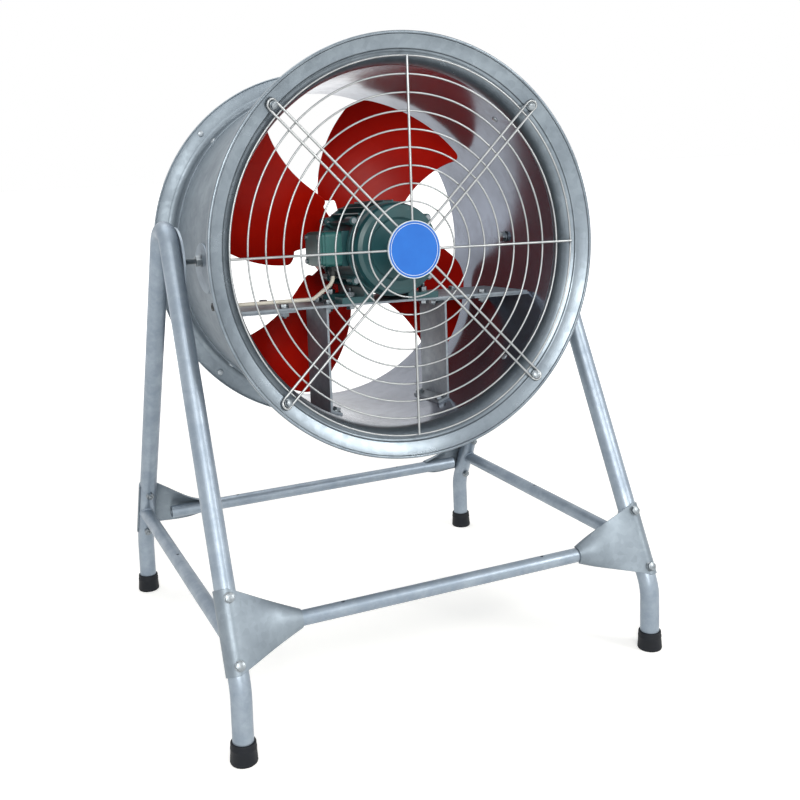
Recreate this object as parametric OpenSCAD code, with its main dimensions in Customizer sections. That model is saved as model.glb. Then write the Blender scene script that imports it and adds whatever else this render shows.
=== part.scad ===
// Industrial drum fan on a tubular stand.
// Origin on the floor at the middle of the four feet, +Z up, the outlet with its grille faces -Y.
// The drum is drawn about its own axis, then tipped about the pivot line, which runs along X.

/* [Drum] */
// Inside diameter of the drum
throat_d = 600; // [590:1:640]
// Thickness of the drum sheet
shell_t = 1.5; // [1:0.1:2.5]
// Outside diameter of the front flange
lip_d = 696; // [690:1:720]
// From the pivot line forward to the front flange
front_len = 212; // [205:1:240]
// From the pivot line back to the rear flange
rear_len = 216; // [210:1:250]
// Thickness of the two end rings
ring_t = 2; // [1.5:0.1:3]
// Width of the turned lip round the front flange
lip_w = 9; // [6:0.5:14]
// Radius of the bell curve between throat and front flange
bell_r = 37; // [30:1:40]
// Outside diameter of the rear flange
rear_flange_d = 681; // [660:1:700]
// Radius of the bend between drum and rear flange
rear_bend_r = 12; // [6:0.5:16]
// Width of the turned lip round the rear flange
rear_lip_w = 7; // [4:0.5:12]
// Length of each ring's sleeve along the drum
sleeve_len = 26; // [20:1:34]
// Small turn of grille, plate and motor about the drum axis, in degrees
mount_turn = 1.3; // [0:0.1:3]

/* [Tilt pivot] */
// Height of the pivot line above the floor
pivot_h = 722; // [700:1:735]
// Upward tilt of the outlet at rest, in degrees
rest_tilt = 3.1; // [0:0.1:10]
// Diameter of the pivot bolts
pivot_bolt_d = 10; // [8:1:12]
// Radial clearance of a pivot bolt in the stand
pivot_gap = 0.1; // [0.05:0.05:0.3]
// Diameter of the round doubler pads on the drum
pad_d = 87; // [80:1:110]
// How far the middle of a pad sits below the pivot line
pad_drop = 13.5; // [0:0.5:20]
// Thickness of the doubler pads
pad_t = 3; // [2:0.5:5]
// How far a pivot bolt stands out past the lock nut
pivot_tail = 6; // [3:1:30]

/* [Stand] */
// Foot spacing from side to side
stand_w = 759; // [755:1:800]
// Foot spacing from front to back
stand_d = 690; // [660:1:760]
// Height of the side frames' top above the pivot line
top_rise = 71; // [63:1:100]
// Outside diameter of the leg tubes
leg_d = 33; // [30:0.5:36]
// Wall of the leg tubes
leg_wall = 2; // [1.5:0.1:3]
// Inward lean of each side frame, in degrees
lean = 1.1; // [0:0.1:1.2]
// Height where a leg would change direction if it had no bend
knee_h = 115; // [105:1:116]
// Bend radius of the knee
knee_r = 85; // [60:1:90]
// Bend radius at the top of the side frame
apex_r = 40; // [35:1:50]
// Outside diameter of rails and cross tubes
rail_d = 25; // [21:0.5:28]
// Wall of rails and cross tubes
rail_wall = 1.5; // [1.2:0.1:2.5]
// Height of the side rails
rail_h = 183; // [175:1:215]
// Height of the cross tubes
cross_h = 180; // [170:1:200]
// Step back of a cross tube behind the leg line
cross_setback = 22.5; // [21:0.5:26]
// Clear distance between a leg axis and the end of a cross tube
cross_gap = 46; // [36:1:60]

/* [Gussets] */
// Length of a gusset along its leg
gusset_len = 128; // [116:1:132]
// Reach of a gusset from the leg axis
gusset_reach = 117; // [100:1:150]
// Sheet thickness of the gussets
gusset_t = 2.5; // [1.5:0.1:3]
// Height of the middle of a gusset
gusset_h = 192; // [190:1:215]
// Distance between the two bolts of a gusset
gusset_bolt_pitch = 100; // [86:1:104]
// Diameter of the gusset bolts
gusset_bolt_d = 8; // [6:1:9]

/* [Feet] */
// Height of a rubber foot
foot_h = 34; // [30:1:55]
// Diameter of a rubber foot at its top
foot_top_d = 39.5; // [38.5:0.5:44]
// Diameter of a rubber foot at the floor
foot_base_d = 43; // [40:0.5:50]
// Thickness of rubber under the tube
foot_floor = 7; // [4:0.5:12]

/* [Pivot plates] */
// Thickness of the pivot plates
plate_t = 4; // [3:0.5:5]
// Diameter of the round pivot plates
plate_d = 120; // [90:1:124]

/* [Grille] */
// Diameter of the outer grille ring
grille_d = 621; // [600:1:624]
// Number of grille rings
ring_count = 9; // [6:1:11]
// Distance from one grille ring to the next
ring_pitch = 29; // [20:0.5:29]
// Diameter of the ring wire
ring_wire_d = 3; // [2:0.5:4]
// Diameter of the spoke wire
spoke_d = 4; // [3:0.5:5]
// Distance between the two wires of a double spoke
pair_pitch = 16; // [13:0.5:20]
// Radius at which the grille bolts sit on the flange
grille_bolt_r = 328; // [326:0.5:331]
// Diameter of the grille bolts
grille_bolt_d = 6; // [4:1:6]

/* [Badge] */
// Diameter of the badge disc
badge_d = 95; // [80:1:120]
// Thickness of the badge disc
badge_t = 4; // [2:0.5:8]

/* [Motor] */
// Height of the shaft above the motor's feet
shaft_h = 90; // [89:1:96]
// Diameter over the housing's fins
motor_d = 168; // [160:1:172]
// Thickness of the housing wall
motor_wall = 7; // [5:0.5:9]
// Height of the fins
fin_h = 11; // [6:0.5:14]
// Thickness of a fin
fin_t = 3; // [2:0.5:4]
// From the pivot line forward to the front of the motor
motor_front = 150; // [146:1:154]
// From the pivot line forward to the front end of the housing
housing_front = 112; // [108:1:116]
// Length of the housing
housing_len = 124; // [118:1:130]
// Side to side distance of the foot bolts
foot_bolt_x = 140; // [120:1:150]
// Front to back distance of the foot bolts
foot_bolt_y = 90; // [80:1:95]
// Thickness of a motor foot
foot_t = 11; // [8:1:14]
// Diameter of the foot bolts
foot_bolt_d = 8; // [6:1:10]
// Shaft diameter in the bearings
shaft_d = 25; // [22:1:28]
// Bearing outside diameter
bearing_d = 52; // [48:1:56]
// Bearing width
bearing_w = 15; // [12:1:17]
// Outside diameter of the rotor core
rotor_d = 83; // [70:1:84]
// Air gap between rotor and stator
air_gap = 0.5; // [0.3:0.1:1]
// Length of the laminated cores
core_len = 80; // [60:1:84]

/* [Terminal box] */
// Length of the terminal box along the motor
box_len = 80; // [60:1:90]
// Height of the terminal box
box_h = 60; // [46:1:64]
// Depth of the box below its lid
box_depth = 22; // [16:1:28]
// Depth of the lid
lid_depth = 16; // [10:1:22]
// Wall of the box
box_wall = 4; // [3:0.5:5]
// Diameter of the motor lead
lead_d = 7; // [5:0.5:9]

/* [Motor mount] */
// Thickness of the motor plate, its brackets and its uprights
mount_t = 4; // [3:0.5:6]
// From the pivot line forward to the front edge of the motor plate
mount_front = 108; // [104:1:116]
// Front to back depth of the motor plate
mount_depth = 158; // [140:1:162]
// Distance between the two uprights
upright_pitch = 228; // [200:1:260]
// Front to back depth of an upright
upright_depth = 100; // [80:1:120]
// Length of a wall bracket from the drum wall inwards
bracket_len = 109; // [80:1:112]
// Width of a bent tab or bracket leg
tab_w = 18; // [14:1:26]
// Diameter of the plate bolts
mount_bolt_d = 8; // [6:1:8]

/* [Impeller] */
// Diameter over the blade tips
tip_d = 580; // [560:1:584]
// Diameter of the hub
hub_d = 124; // [110:1:130]
// Width of the hub
hub_w = 40; // [34:1:44]
// From the pivot line back to the front edge of the blades
blade_front = 60; // [56:1:70]
// Front to back depth of the blades
blade_depth = 86; // [60:1:88]
// Thickness of a blade
blade_t = 2.5; // [2:0.1:4]
// Hollow of the blades
blade_camber = 9; // [0:0.5:14]
// Radius where the wide part of a blade begins
blade_root_r = 90; // [86:1:104]

/* [Hidden] */
$fn = 96;

// General allowances
eps = 0.01;
seat_gap = 0.1;
run_gap = 0.3;
cut = 2;
drill_len = 60;

// Fastener proportions for a thread diameter d
function nut_af(d) = 1.6 * d + 1;
function nut_t(d) = 0.8 * d;
function head_t(d) = 0.65 * d;
function washer_d(d) = 2 * d + 1;
function washer_t(d) = 0.2 * d;
function hole_d(d) = d + 2 * seat_gap;
hex_sides = 6;

// Stand: the side frame is worked out in its own plane, as distance from the middle and height
foot_x = stand_w / 2;
foot_y = stand_d / 2;
frame_top = pivot_h + top_rise;
apex_c = frame_top - leg_d / 2 - apex_r;
leg_rise = apex_c - knee_h;
leg_angle = acos(apex_r / norm([foot_y, leg_rise])) - atan2(leg_rise, foot_y);
knee_t = knee_r * tan(leg_angle / 2);
apex_point = apex_c + apex_r / sin(leg_angle);
function leg_y(h) = (apex_point - h) * tan(leg_angle);
function leg_x(h) = foot_x - h * tan(lean);
leg_bore = leg_d - 2 * leg_wall;
rail_offset = (leg_d - rail_d) / 2 - 1;

// Cross tubes
cross_y = leg_y(cross_h) - cross_setback;
cross_half = leg_x(cross_h) - cross_gap;

// Vent holes on top of the rails and cross tubes
vent_d = 6;
rail_vent_y = 23;
cross_vent_x = 187;

// Gusset frame: along the leg, outward from the leg, and across towards the middle
gusset_y = leg_y(gusset_h);
tube_out = -(gusset_y - cross_y) * cos(leg_angle) - (gusset_h - cross_h) * sin(leg_angle);
tube_along = (gusset_y - cross_y) * sin(leg_angle) - (gusset_h - cross_h) * cos(leg_angle);
sleeve_turn = 100;
sleeve_r = leg_d / 2 + seat_gap;
fold_x = 0.66 * gusset_reach;
fold_wrap = 186;
wing_y = -tube_out - gusset_reach * sin(lean) * sin(leg_angle) - rail_d / 2 - 3 * seat_gap;
slope = asin(sleeve_r / norm([fold_x, wing_y])) + atan2(wing_y, fold_x);
slope_len = (fold_x - sleeve_r * sin(slope)) / cos(slope);
narrow_mid = tube_along + gusset_reach * sin(lean) * cos(leg_angle);
narrow_half = rail_d / 2 + gusset_t;
function edge_mix(x, wide, narrow) = wide + (narrow - wide) * x / gusset_reach;
function edge_low(x) = edge_mix(x, -gusset_len / 2, narrow_mid - narrow_half);
function edge_top(x) = edge_mix(x, gusset_len / 2, narrow_mid + narrow_half);
gusset_bolt_len = leg_d + gusset_t + washer_t(gusset_bolt_d) + nut_t(gusset_bolt_d) + 3;

// Feet
foot_bore_d = leg_d + 2 * seat_gap;
foot_sink = 2;

// Drum
throat_r = throat_d / 2;
shell_r = throat_r + shell_t;
lip_r = lip_d / 2;
rear_r = rear_flange_d / 2;
bell_sweep = 64;
bell_steps = 12;
cone_angle = 90 - bell_sweep;
joggle = [0.5, 2];
bell_end_r = throat_r + bell_r * (1 - cos(bell_sweep));
cone_r = bell_end_r + joggle[0];
cone_y = -front_len + (lip_r - cone_r) * tan(cone_angle);
bell_y = cone_y + joggle[1] + bell_r * sin(bell_sweep);
function flange_y(r) = cone_y - (r - cone_r) * tan(cone_angle);
front_sleeve_len = 2 * sleeve_len;
front_rivet_y = bell_y + front_sleeve_len - sleeve_len / 2;
rear_bend_y = rear_len - ring_t - rear_bend_r;
bend_steps = 6;
rear_rivet_y = rear_bend_y - sleeve_len / 2;
rivet_d = 6;
rivet_head = [12, 3];
rear_bolt_r = (shell_r + ring_t + rear_bend_r + rear_r - ring_t) / 2 - 1;
diagonals = [45, 135, 225, 315];

// Pivot
washer_gap = 0.2;
pivot_washer_t = washer_t(pivot_bolt_d);
pad_x = shell_r + pad_t;
stand_plate_in = leg_x(pivot_h) - (leg_d / 2 + plate_t) / cos(lean);
stand_plate_out = leg_x(pivot_h) - leg_d / 2 / cos(lean);
lock_nut_x = stand_plate_out + run_gap + plate_t * sin(lean) + pivot_bolt_d * tan(lean);
pivot_end_x = lock_nut_x + nut_t(pivot_bolt_d) + pivot_tail;
bolt_head_x = throat_r - 1 - pivot_washer_t;
jam_nut_x = pad_x + washer_gap;

// Grille
loop_lead = 3;
loop_corner_r = grille_bolt_r - loop_lead;
loop_bend = 2 * spoke_d;
loop_tan = loop_bend * tan(cone_angle / 2);
loop_run = (grille_bolt_r - loop_corner_r) / cos(cone_angle) - loop_tan;
spoke_y = flange_y(loop_corner_r) - (spoke_d / 2 + seat_gap) / cos(cone_angle);
wire_sink = 0.35;
ring_y = spoke_y + (spoke_d + ring_wire_d) / 2 - wire_sink;
inner_ring_r = 0.42 * badge_d;
grille_washer_t = 1.5;
grille_washer_d = pair_pitch - 2;
grille_seat = 0.4;
spoke_angles = [0, 90, 180, 270];

// Badge
badge_y = spoke_y - spoke_d / 2 - badge_t;
badge_edge = [2.5, 0.8];

// Motor, along the drum axis from front to rear
fin_r = motor_d / 2;
housing_r = fin_r - fin_h;
stator_r = housing_r - motor_wall;
housing_rear = housing_len - housing_front;
rotor_r = rotor_d / 2;
stator_bore_r = rotor_r + air_gap;
core_mid = (housing_rear - housing_front) / 2;
winding_w = 15;
shield_flange_t = 9;
shield_flange_r = fin_r - 3;
bearing_r = bearing_d / 2;
front_bearing_y = -housing_front - bearing_w;
rear_bearing_y = housing_rear + 5;
seat_wall = 5;
shaft_front = front_bearing_y - 3;
cap_r = 20;
rim_r = [54, 68, fin_r - 9];
core_shaft_d = shaft_d + 6;
rear_shield_end = rear_bearing_y + bearing_w + 7;
shaft_gap = 0.4;
bearing_ring_t = 4;
ball_count = 9;
ball_d = bearing_r - shaft_d / 2 - 2 * bearing_ring_t;
fin_step = 12;
foot_pad_w = 44;
foot_pad_l = 34;
motor_foot_mid = -housing_front + 18 + foot_bolt_y / 2;
shield_bolt_r = fin_r + 2;
shield_bolt_d = 5;
shield_bolt_angles = [36, 144, 216, 324];
lug_r = 7;
lug_len = 16;
lug_inset = 0.2;

// Terminal box on the left of the housing
box_seat_x = fin_r;
box_out_x = box_seat_x + box_depth;
lid_out_x = box_out_x + lid_depth;
box_mid_y = -60;
box_mid_z = 4;
box_corner = 9;
lid_screw_d = 4;
gland_d = lead_d + 9;
gland_len = 16;

// Motor mount
mount_z = -shaft_h;
mount_rear = mount_depth - mount_front;
upright_front = mount_front - 12;
upright_x = upright_pitch / 2;
plate_half = sqrt(pow(throat_r, 2) - pow(mount_z - mount_t, 2)) - 6;
bracket_z = mount_z - mount_t;
bracket_front = mount_front - 4;
bracket_depth = mount_depth - 14;
wall_half = sqrt(pow(throat_r, 2) - pow(bracket_z - mount_t, 2));
bracket_bolt_x = plate_half - bracket_len + 21;
bracket_bolts_y = [-mount_front + 14, mount_rear - 30];
foot_tab_z = -sqrt(pow(throat_r, 2) - pow(upright_x, 2)) - 1;
mount_hole = hole_d(mount_bolt_d);
foot_seat = 0.4;

// Lead from the terminal box to the drum wall, in one plane across the drum
wall_gland_d = lead_d + 7;
gland_lip = 3;
lead_y = -mount_front + 28;
lead_x = box_seat_x + box_depth / 2;
lead_start_z = box_mid_z - box_h / 2 + box_wall;
lead_rest_z = mount_z + (wall_gland_d + gland_lip) / 2 + 1;
lead_slope = 35;
lead_bend_r = 3 * lead_d;
lead_tan_top = lead_bend_r * tan((90 - lead_slope) / 2);
lead_tan_low = lead_bend_r * tan(lead_slope / 2);
lead_drop = gland_len + box_wall + 1;
lead_slant = (lead_start_z - lead_drop - lead_tan_top - lead_rest_z) / sin(lead_slope)
    - lead_tan_top - lead_tan_low;
lead_low_x = lead_x + (lead_slant + lead_tan_top + lead_tan_low) * cos(lead_slope);
lead_wall_x = sqrt(pow(throat_r, 2) - pow(lead_rest_z, 2));
lead_level = lead_wall_x + 18 - lead_low_x - lead_tan_low;

// Impeller
tip_r = tip_d / 2;
hub_r = hub_d / 2;
hub_mid = blade_front + blade_depth / 2;
hub_start = hub_mid - hub_w / 2;
hub_end = hub_mid + hub_w / 2;
shaft_end = hub_end - 2;
hub_shaft_d = shaft_d - 1;
key = [8, 7, 30];
boss_r = 24;
web_t = 8;
rim_t = 6;
blade_cols = 28;
blade_rows = 9;
neck = [0.16, 0.72];
neck_blend = 0.09;
tip_round = [16, 20];
tip_share = [0.08, 0.12];
blade_turns = [0, 90, 180, 270];
// Edge lines of a blade as angles round the axis: the leading edge curls forward towards the root
// and towards the tip, the trailing edge leans with radius (degrees per mm)
lead_angle = 36.4;
lead_curl = 45;
curl_r = 0.655 * tip_r;
lead_sweep = 19;
sweep_r = 0.672 * tip_r;
trail_angle = 105.4;
trail_lean = 0.15;
trail_r = 0.362 * tip_r;

galvanised = "#AEB9C1";
zinc = "#C9CED2";
wire_plate = "#D8D8D2";
rubber = "#1E2428";
red_paint = "#B01808";
motor_green = "#1F5A5A";
badge_blue = "#1E82E6";
steel = "#8A9096";
copper = "#B06A34";
sheath = "#D6D2C4";

// Placement helpers
module side_plane(side) {
    translate([side * foot_x, 0, 0]) rotate([0, -side * lean, 0]) rotate([90, 0, 90]) children();
}
module on_drum() {
    translate([0, 0, pivot_h]) rotate([-rest_tilt, 0, 0]) children();
}
module on_mount() {
    on_drum() rotate([0, mount_turn, 0]) children();
}
module along_y(y = 0) {
    translate([0, y, 0]) rotate([-90, 0, 0]) children();
}
module corner(sx, sy) {
    mirror([sx > 0 ? 1 : 0, 0, 0]) mirror([0, sy > 0 ? 1 : 0, 0]) children();
}
module leg_frame(sx, sy) {
    corner(sx, sy) translate([-foot_x, 0, 0]) rotate([0, lean, 0])
        translate([0, -gusset_y, gusset_h]) rotate([-leg_angle, 0, 0]) children();
}

// Stock shapes
// A bent rod starts along +Y; each step is a straight run, then a bend to the left of some radius.
// A collar a hair wider than the rod makes each run and bend fuse into one solid.
module collar(d) {
    rotate([-90, 0, 0]) cylinder(h = 40 * eps, d = d + 6 * eps, center = true);
}
module bent_rod(steps, d, seam = 0, i = 0) {
    run = steps[i][0];
    rotate([-90, 0, 0]) rotate([0, 0, seam]) cylinder(h = run, d = d);
    if (i + 1 < len(steps)) translate([-steps[i][1], run, 0]) {
        translate([steps[i][1], 0, 0]) collar(d);
        rotate_extrude(angle = steps[i][2]) translate([steps[i][1], 0]) circle(d = d);
        rotate([0, 0, steps[i][2]]) translate([steps[i][1], 0, 0]) {
            collar(d);
            bent_rod(steps, d, seam, i + 1);
        }
    }
}
module hex_bar(af, h) {
    cylinder(h = h, d = af / cos(180 / hex_sides), $fn = hex_sides);
}
module hex_bolt(d, len) {
    translate([0, 0, -head_t(d)]) hex_bar(nut_af(d), head_t(d));
    translate([0, 0, -head_t(d) / 2]) cylinder(h = len + head_t(d) / 2, d = d);
}
module hex_nut(d) {
    difference() {
        hex_bar(nut_af(d), nut_t(d));
        translate([0, 0, -cut]) cylinder(h = nut_t(d) + 2 * cut, d = hole_d(d));
    }
}
module washer(d) {
    difference() {
        translate([0, 0, eps]) cylinder(h = washer_t(d) - 2 * eps, d = washer_d(d));
        translate([0, 0, -cut]) cylinder(h = washer_t(d) + 2 * cut, d = hole_d(d));
    }
}
module dome_rivet(d, head_d, head_h, grip) {
    cylinder(h = grip, d = d);
    translate([0, 0, -head_h]) cylinder(h = head_h + eps, d1 = head_d * 0.6, d2 = head_d);
    translate([0, 0, grip - eps]) cylinder(h = head_h + eps, d1 = head_d, d2 = head_d * 0.6);
}
module ring(r_out, r_in, h) {
    difference() {
        cylinder(h = h, r = r_out);
        translate([0, 0, -cut]) cylinder(h = h + 2 * cut, r = r_in);
    }
}

// Side frames
module frame_path(d, extra = 0) {
    foot_run = knee_h - knee_t - foot_floor - seat_gap;
    leg_run = sqrt(pow(foot_y, 2) + pow(leg_rise, 2) - pow(apex_r, 2)) - knee_t;
    translate([foot_y, foot_floor + seat_gap - extra, 0]) bent_rod([[foot_run + extra, knee_r, leg_angle],
        [leg_run, apex_r, 180 - 2 * leg_angle], [leg_run, knee_r, leg_angle],
        [foot_run + extra]], d);
}
module gusset_drill(d) {
    for (side = [-1, 1]) translate([0, 0, side * gusset_bolt_pitch / 2]) rotate([90, 0, 0])
        translate([0, 0, -leg_d]) cylinder(h = 2 * leg_d, d = d);
}
module side_frame(side) {
    color(galvanised) difference() {
        side_plane(side) frame_path(leg_d);
        side_plane(side) frame_path(leg_bore, cut);
        for (sy = [-1, 1]) leg_frame(side, sy) gusset_drill(hole_d(gusset_bolt_d));
    }
}
module left_side_frame() { side_frame(-1); }
module right_side_frame() { side_frame(1); }

// Rails between the legs of a side, coped to the legs
module side_rail(side) {
    reach = leg_y(rail_h);
    color(galvanised) difference() {
        side_plane(side) translate([-reach, rail_h, side * rail_offset]) rotate([0, 90, 0])
            ring(rail_d / 2, rail_d / 2 - rail_wall, 2 * reach);
        for (sy = [-1, 1]) {
            leg_frame(side, sy)
                cylinder(h = 2 * gusset_len, d = leg_d + 2 * seat_gap, center = true);
            side_plane(side) translate([sy * (reach + leg_d), rail_h, 0])
                cube([2 * leg_d, 3 * leg_d, 3 * leg_d], center = true);
        }
        translate([side * (leg_x(rail_h) + rail_offset), rail_vent_y, rail_h])
            cylinder(h = rail_d, d = vent_d);
    }
}
module left_side_rail() { side_rail(-1); }
module right_side_rail() { side_rail(1); }

// Cross tubes
module cross_bar(sy, d, extra = 0) {
    translate([-cross_half - extra, sy * cross_y, cross_h]) rotate([0, 90, 0])
        cylinder(h = 2 * (cross_half + extra), d = d);
}
module cross_tube(sy) {
    color(galvanised) difference() {
        cross_bar(sy, rail_d);
        cross_bar(sy, rail_d - 2 * rail_wall, cut);
        for (side = [-1, 1]) translate([side * cross_vent_x, sy * cross_y, cross_h])
            cylinder(h = rail_d, d = vent_d);
    }
}
module front_cross_tube() { cross_tube(-1); }
module rear_cross_tube() { cross_tube(1); }

// Gussets: a sleeve round the outside of the leg, a sheet sloping off it on to the cross tube,
// and a fold half round that tube
module gusset_sheet(x0, x1, low0, top0, low1, top1) {
    translate([0, -seat_gap, 0]) rotate([90, 0, 0]) linear_extrude(gusset_t - 2 * seat_gap)
        polygon([[x0, low0], [x1, low1], [x1, top1], [x0, top0]]);
}
module gusset_wrap() {
    rotate([0, 0, -sleeve_turn - 90]) translate([0, 0, -gusset_len / 2])
        rotate_extrude(angle = sleeve_turn + slope) translate([sleeve_r, 0])
            square([gusset_t, gusset_len]);
    rotate([0, 0, slope]) translate([0, -sleeve_r, 0])
        gusset_sheet(-1.5, slope_len + 1, edge_low(0), edge_top(0), edge_low(fold_x), edge_top(fold_x));
    translate([0, wing_y, 0]) gusset_sheet(fold_x, gusset_reach, edge_low(fold_x),
        edge_top(fold_x), edge_low(gusset_reach), edge_top(gusset_reach));
}
module gusset_fold() {
    translate([-leg_x(cross_h) + fold_x, -cross_y, cross_h]) rotate([-leg_angle, 0, 0])
        rotate([0, 90, 0]) rotate([0, 0, 270 - fold_wrap / 2]) rotate_extrude(angle = fold_wrap)
            translate([rail_d / 2 - seat_gap, 0])
                square([gusset_t + 2 * seat_gap, gusset_reach - fold_x]);
}
module gusset(sx, sy) {
    color(galvanised) difference() {
        union() {
            leg_frame(sx, sy) gusset_wrap();
            corner(sx, sy) gusset_fold();
        }
        leg_frame(sx, sy) gusset_drill(hole_d(gusset_bolt_d));
        cross_bar(sy, rail_d + 2 * seat_gap, leg_d);
    }
}
module front_left_gusset() { gusset(-1, -1); }
module front_right_gusset() { gusset(1, -1); }
module rear_left_gusset() { gusset(-1, 1); }
module rear_right_gusset() { gusset(1, 1); }

module gusset_bolts() {
    seat = leg_d / 2 + seat_gap + gusset_t;
    color(zinc) for (sx = [-1, 1], sy = [-1, 1], side = [-1, 1]) leg_frame(sx, sy)
        translate([0, -seat, side * gusset_bolt_pitch / 2]) rotate([-90, 0, 0]) {
            translate([0, 0, -washer_t(gusset_bolt_d)]) {
                hex_bolt(gusset_bolt_d, gusset_bolt_len + washer_t(gusset_bolt_d));
                washer(gusset_bolt_d);
            }
            translate([0, 0, gusset_t + leg_d + seat_gap]) hex_nut(gusset_bolt_d);
        }
}

// Pivot plates, welded to the inner side of the side frames
module pivot_plate(side) {
    plate_seat = leg_d / 2 + seat_gap;
    color(galvanised) difference() {
        side_plane(side) translate([0, 0, side < 0 ? plate_seat : -plate_seat - plate_t])
            translate([0, pivot_h, 0]) cylinder(h = plate_t, d = plate_d);
        translate([side * leg_x(pivot_h), 0, pivot_h]) rotate([0, 90, 0])
            cylinder(h = 3 * leg_d, d = pivot_bolt_d + 2 * pivot_gap, center = true);
    }
}
module left_pivot_plate() { pivot_plate(-1); }
module right_pivot_plate() { pivot_plate(1); }

// Rubber feet, cut flat at the floor
module rubber_foot(sx, sy) {
    color(rubber) difference() {
        side_plane(sx) translate([sy * foot_y, -foot_sink, 0]) rotate([-90, 0, 0])
            cylinder(h = foot_h + foot_sink, d1 = foot_base_d, d2 = foot_top_d);
        side_plane(sx) translate([sy * foot_y, foot_floor, 0]) rotate([-90, 0, 0])
            cylinder(h = foot_h, d = foot_bore_d);
        translate([sx * foot_x, sy * foot_y, -foot_h])
            cube([2 * foot_h + foot_base_d, 2 * foot_h + foot_base_d, 2 * foot_h], center = true);
    }
}
module front_left_foot() { rubber_foot(-1, -1); }
module front_right_foot() { rubber_foot(1, -1); }
module rear_left_foot() { rubber_foot(-1, 1); }
module rear_right_foot() { rubber_foot(1, 1); }

// Drum
module pivot_drill(d) {
    rotate([0, 90, 0]) cylinder(h = 3 * lip_r, d = d, center = true);
}
module rivet_drill(y, d) {
    for (a = diagonals) rotate([0, -a, 0]) translate([throat_r, y, 0]) rotate([0, 90, 0])
        cylinder(h = drill_len, d = d, center = true);
}
module wall_gland_drill() {
    rotate([0, mount_turn, 0]) translate([-lead_wall_x, lead_y, lead_rest_z]) rotate([0, 90, 0])
        cylinder(h = drill_len, d = wall_gland_d + 2 * seat_gap, center = true);
}
module drum_shell() {
    color(galvanised) on_drum() difference() {
        along_y(bell_y) ring(shell_r, throat_r, rear_bend_y - bell_y);
        pivot_drill(hole_d(pivot_bolt_d));
        rivet_drill(front_rivet_y, rivet_d + 2 * seat_gap);
        rivet_drill(rear_rivet_y, rivet_d + 2 * seat_gap);
        wall_gland_drill();
        rotate([0, mount_turn, 0]) for (side = [-1, 1]) mirror([side < 0 ? 1 : 0, 0, 0])
            upright_foot_place() cylinder(h = drill_len, d = mount_hole, center = true);
    }
}
module front_bell_ring() {
    centre = [throat_r + bell_r, bell_y];
    inner_arc = [for (i = [0 : bell_steps]) let (a = i * bell_sweep / bell_steps)
        centre - bell_r * [cos(a), sin(a)]];
    outer_arc = [for (i = [bell_steps : -1 : 0]) let (a = i * bell_sweep / bell_steps)
        centre - (bell_r - ring_t) * [cos(a), sin(a)]];
    back = ring_t * [sin(cone_angle), cos(cone_angle)];
    profile = concat(inner_arc,
        [[cone_r, cone_y], [lip_r - 2, -front_len + 2 * tan(cone_angle)], [lip_r, -front_len + 3],
         [lip_r, -front_len + lip_w], [lip_r - ring_t, -front_len + lip_w],
         [lip_r - ring_t, -front_len + ring_t * tan(cone_angle) + ring_t / cos(cone_angle)],
         [cone_r + back[0], cone_y + back[1]]],
        outer_arc,
        [[shell_r + ring_t, bell_y], [shell_r + ring_t, bell_y + front_sleeve_len],
         [shell_r + seat_gap / 2, bell_y + front_sleeve_len], [shell_r + seat_gap / 2, bell_y]]);
    color(galvanised) on_drum() difference() {
        along_y() rotate_extrude() polygon(profile);
        rivet_drill(front_rivet_y, rivet_d + 2 * seat_gap);
        rotate([0, mount_turn, 0]) for (a = diagonals) grille_bolt_place(a)
            cylinder(h = drill_len, d = hole_d(grille_bolt_d), center = true);
    }
}
module rear_flange_ring() {
    seat = shell_r + seat_gap / 2;
    centre = [seat + ring_t + rear_bend_r, rear_bend_y];
    front_arc = [for (i = [0 : bend_steps]) let (a = 90 * i / bend_steps)
        centre + rear_bend_r * [-cos(a), sin(a)]];
    back_arc = [for (i = [bend_steps : -1 : 0]) let (a = 90 * i / bend_steps)
        centre + (rear_bend_r + ring_t) * [-cos(a), sin(a)]];
    profile = concat([[seat, rear_bend_y - sleeve_len], [seat + ring_t, rear_bend_y - sleeve_len]],
        front_arc, [[rear_r - ring_t, rear_len - ring_t], [rear_r - ring_t, rear_len - rear_lip_w],
        [rear_r, rear_len - rear_lip_w], [rear_r, rear_len - 1], [rear_r - 1, rear_len]], back_arc);
    color(galvanised) on_drum() difference() {
        along_y() rotate_extrude() polygon(profile);
        rivet_drill(rear_rivet_y, rivet_d + 2 * seat_gap);
        for (a = diagonals) rotate([0, -a, 0]) translate([rear_bolt_r, rear_len, 0])
            rotate([90, 0, 0]) cylinder(h = 4 * ring_t, d = hole_d(rivet_d), center = true);
    }
}
module ring_rivets() {
    color(zinc) on_drum() for (a = diagonals) rotate([0, -a, 0]) {
        for (y = [front_rivet_y, rear_rivet_y])
            translate([throat_r - washer_gap, y, 0]) rotate([0, 90, 0])
                dome_rivet(rivet_d, rivet_head[0], rivet_head[1],
                    shell_t + ring_t + 2 * washer_gap);
        translate([rear_bolt_r, rear_len - ring_t - seat_gap, 0]) rotate([-90, 0, 0])
            dome_rivet(rivet_d, rivet_head[0], rivet_head[1], ring_t + 2 * seat_gap);
    }
}

// Pivot pads, bolts and nuts
module pivot_pad(side) {
    color(galvanised) on_drum() difference() {
        intersection() {
            along_y(-pad_d) ring(pad_x, shell_r + seat_gap / 2, 2 * pad_d);
            translate([0, 0, -pad_drop]) rotate([0, side * 90, 0]) cylinder(h = lip_r, d = pad_d);
        }
        pivot_drill(hole_d(pivot_bolt_d));
    }
}
module left_pivot_pad() { pivot_pad(-1); }
module right_pivot_pad() { pivot_pad(1); }

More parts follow.
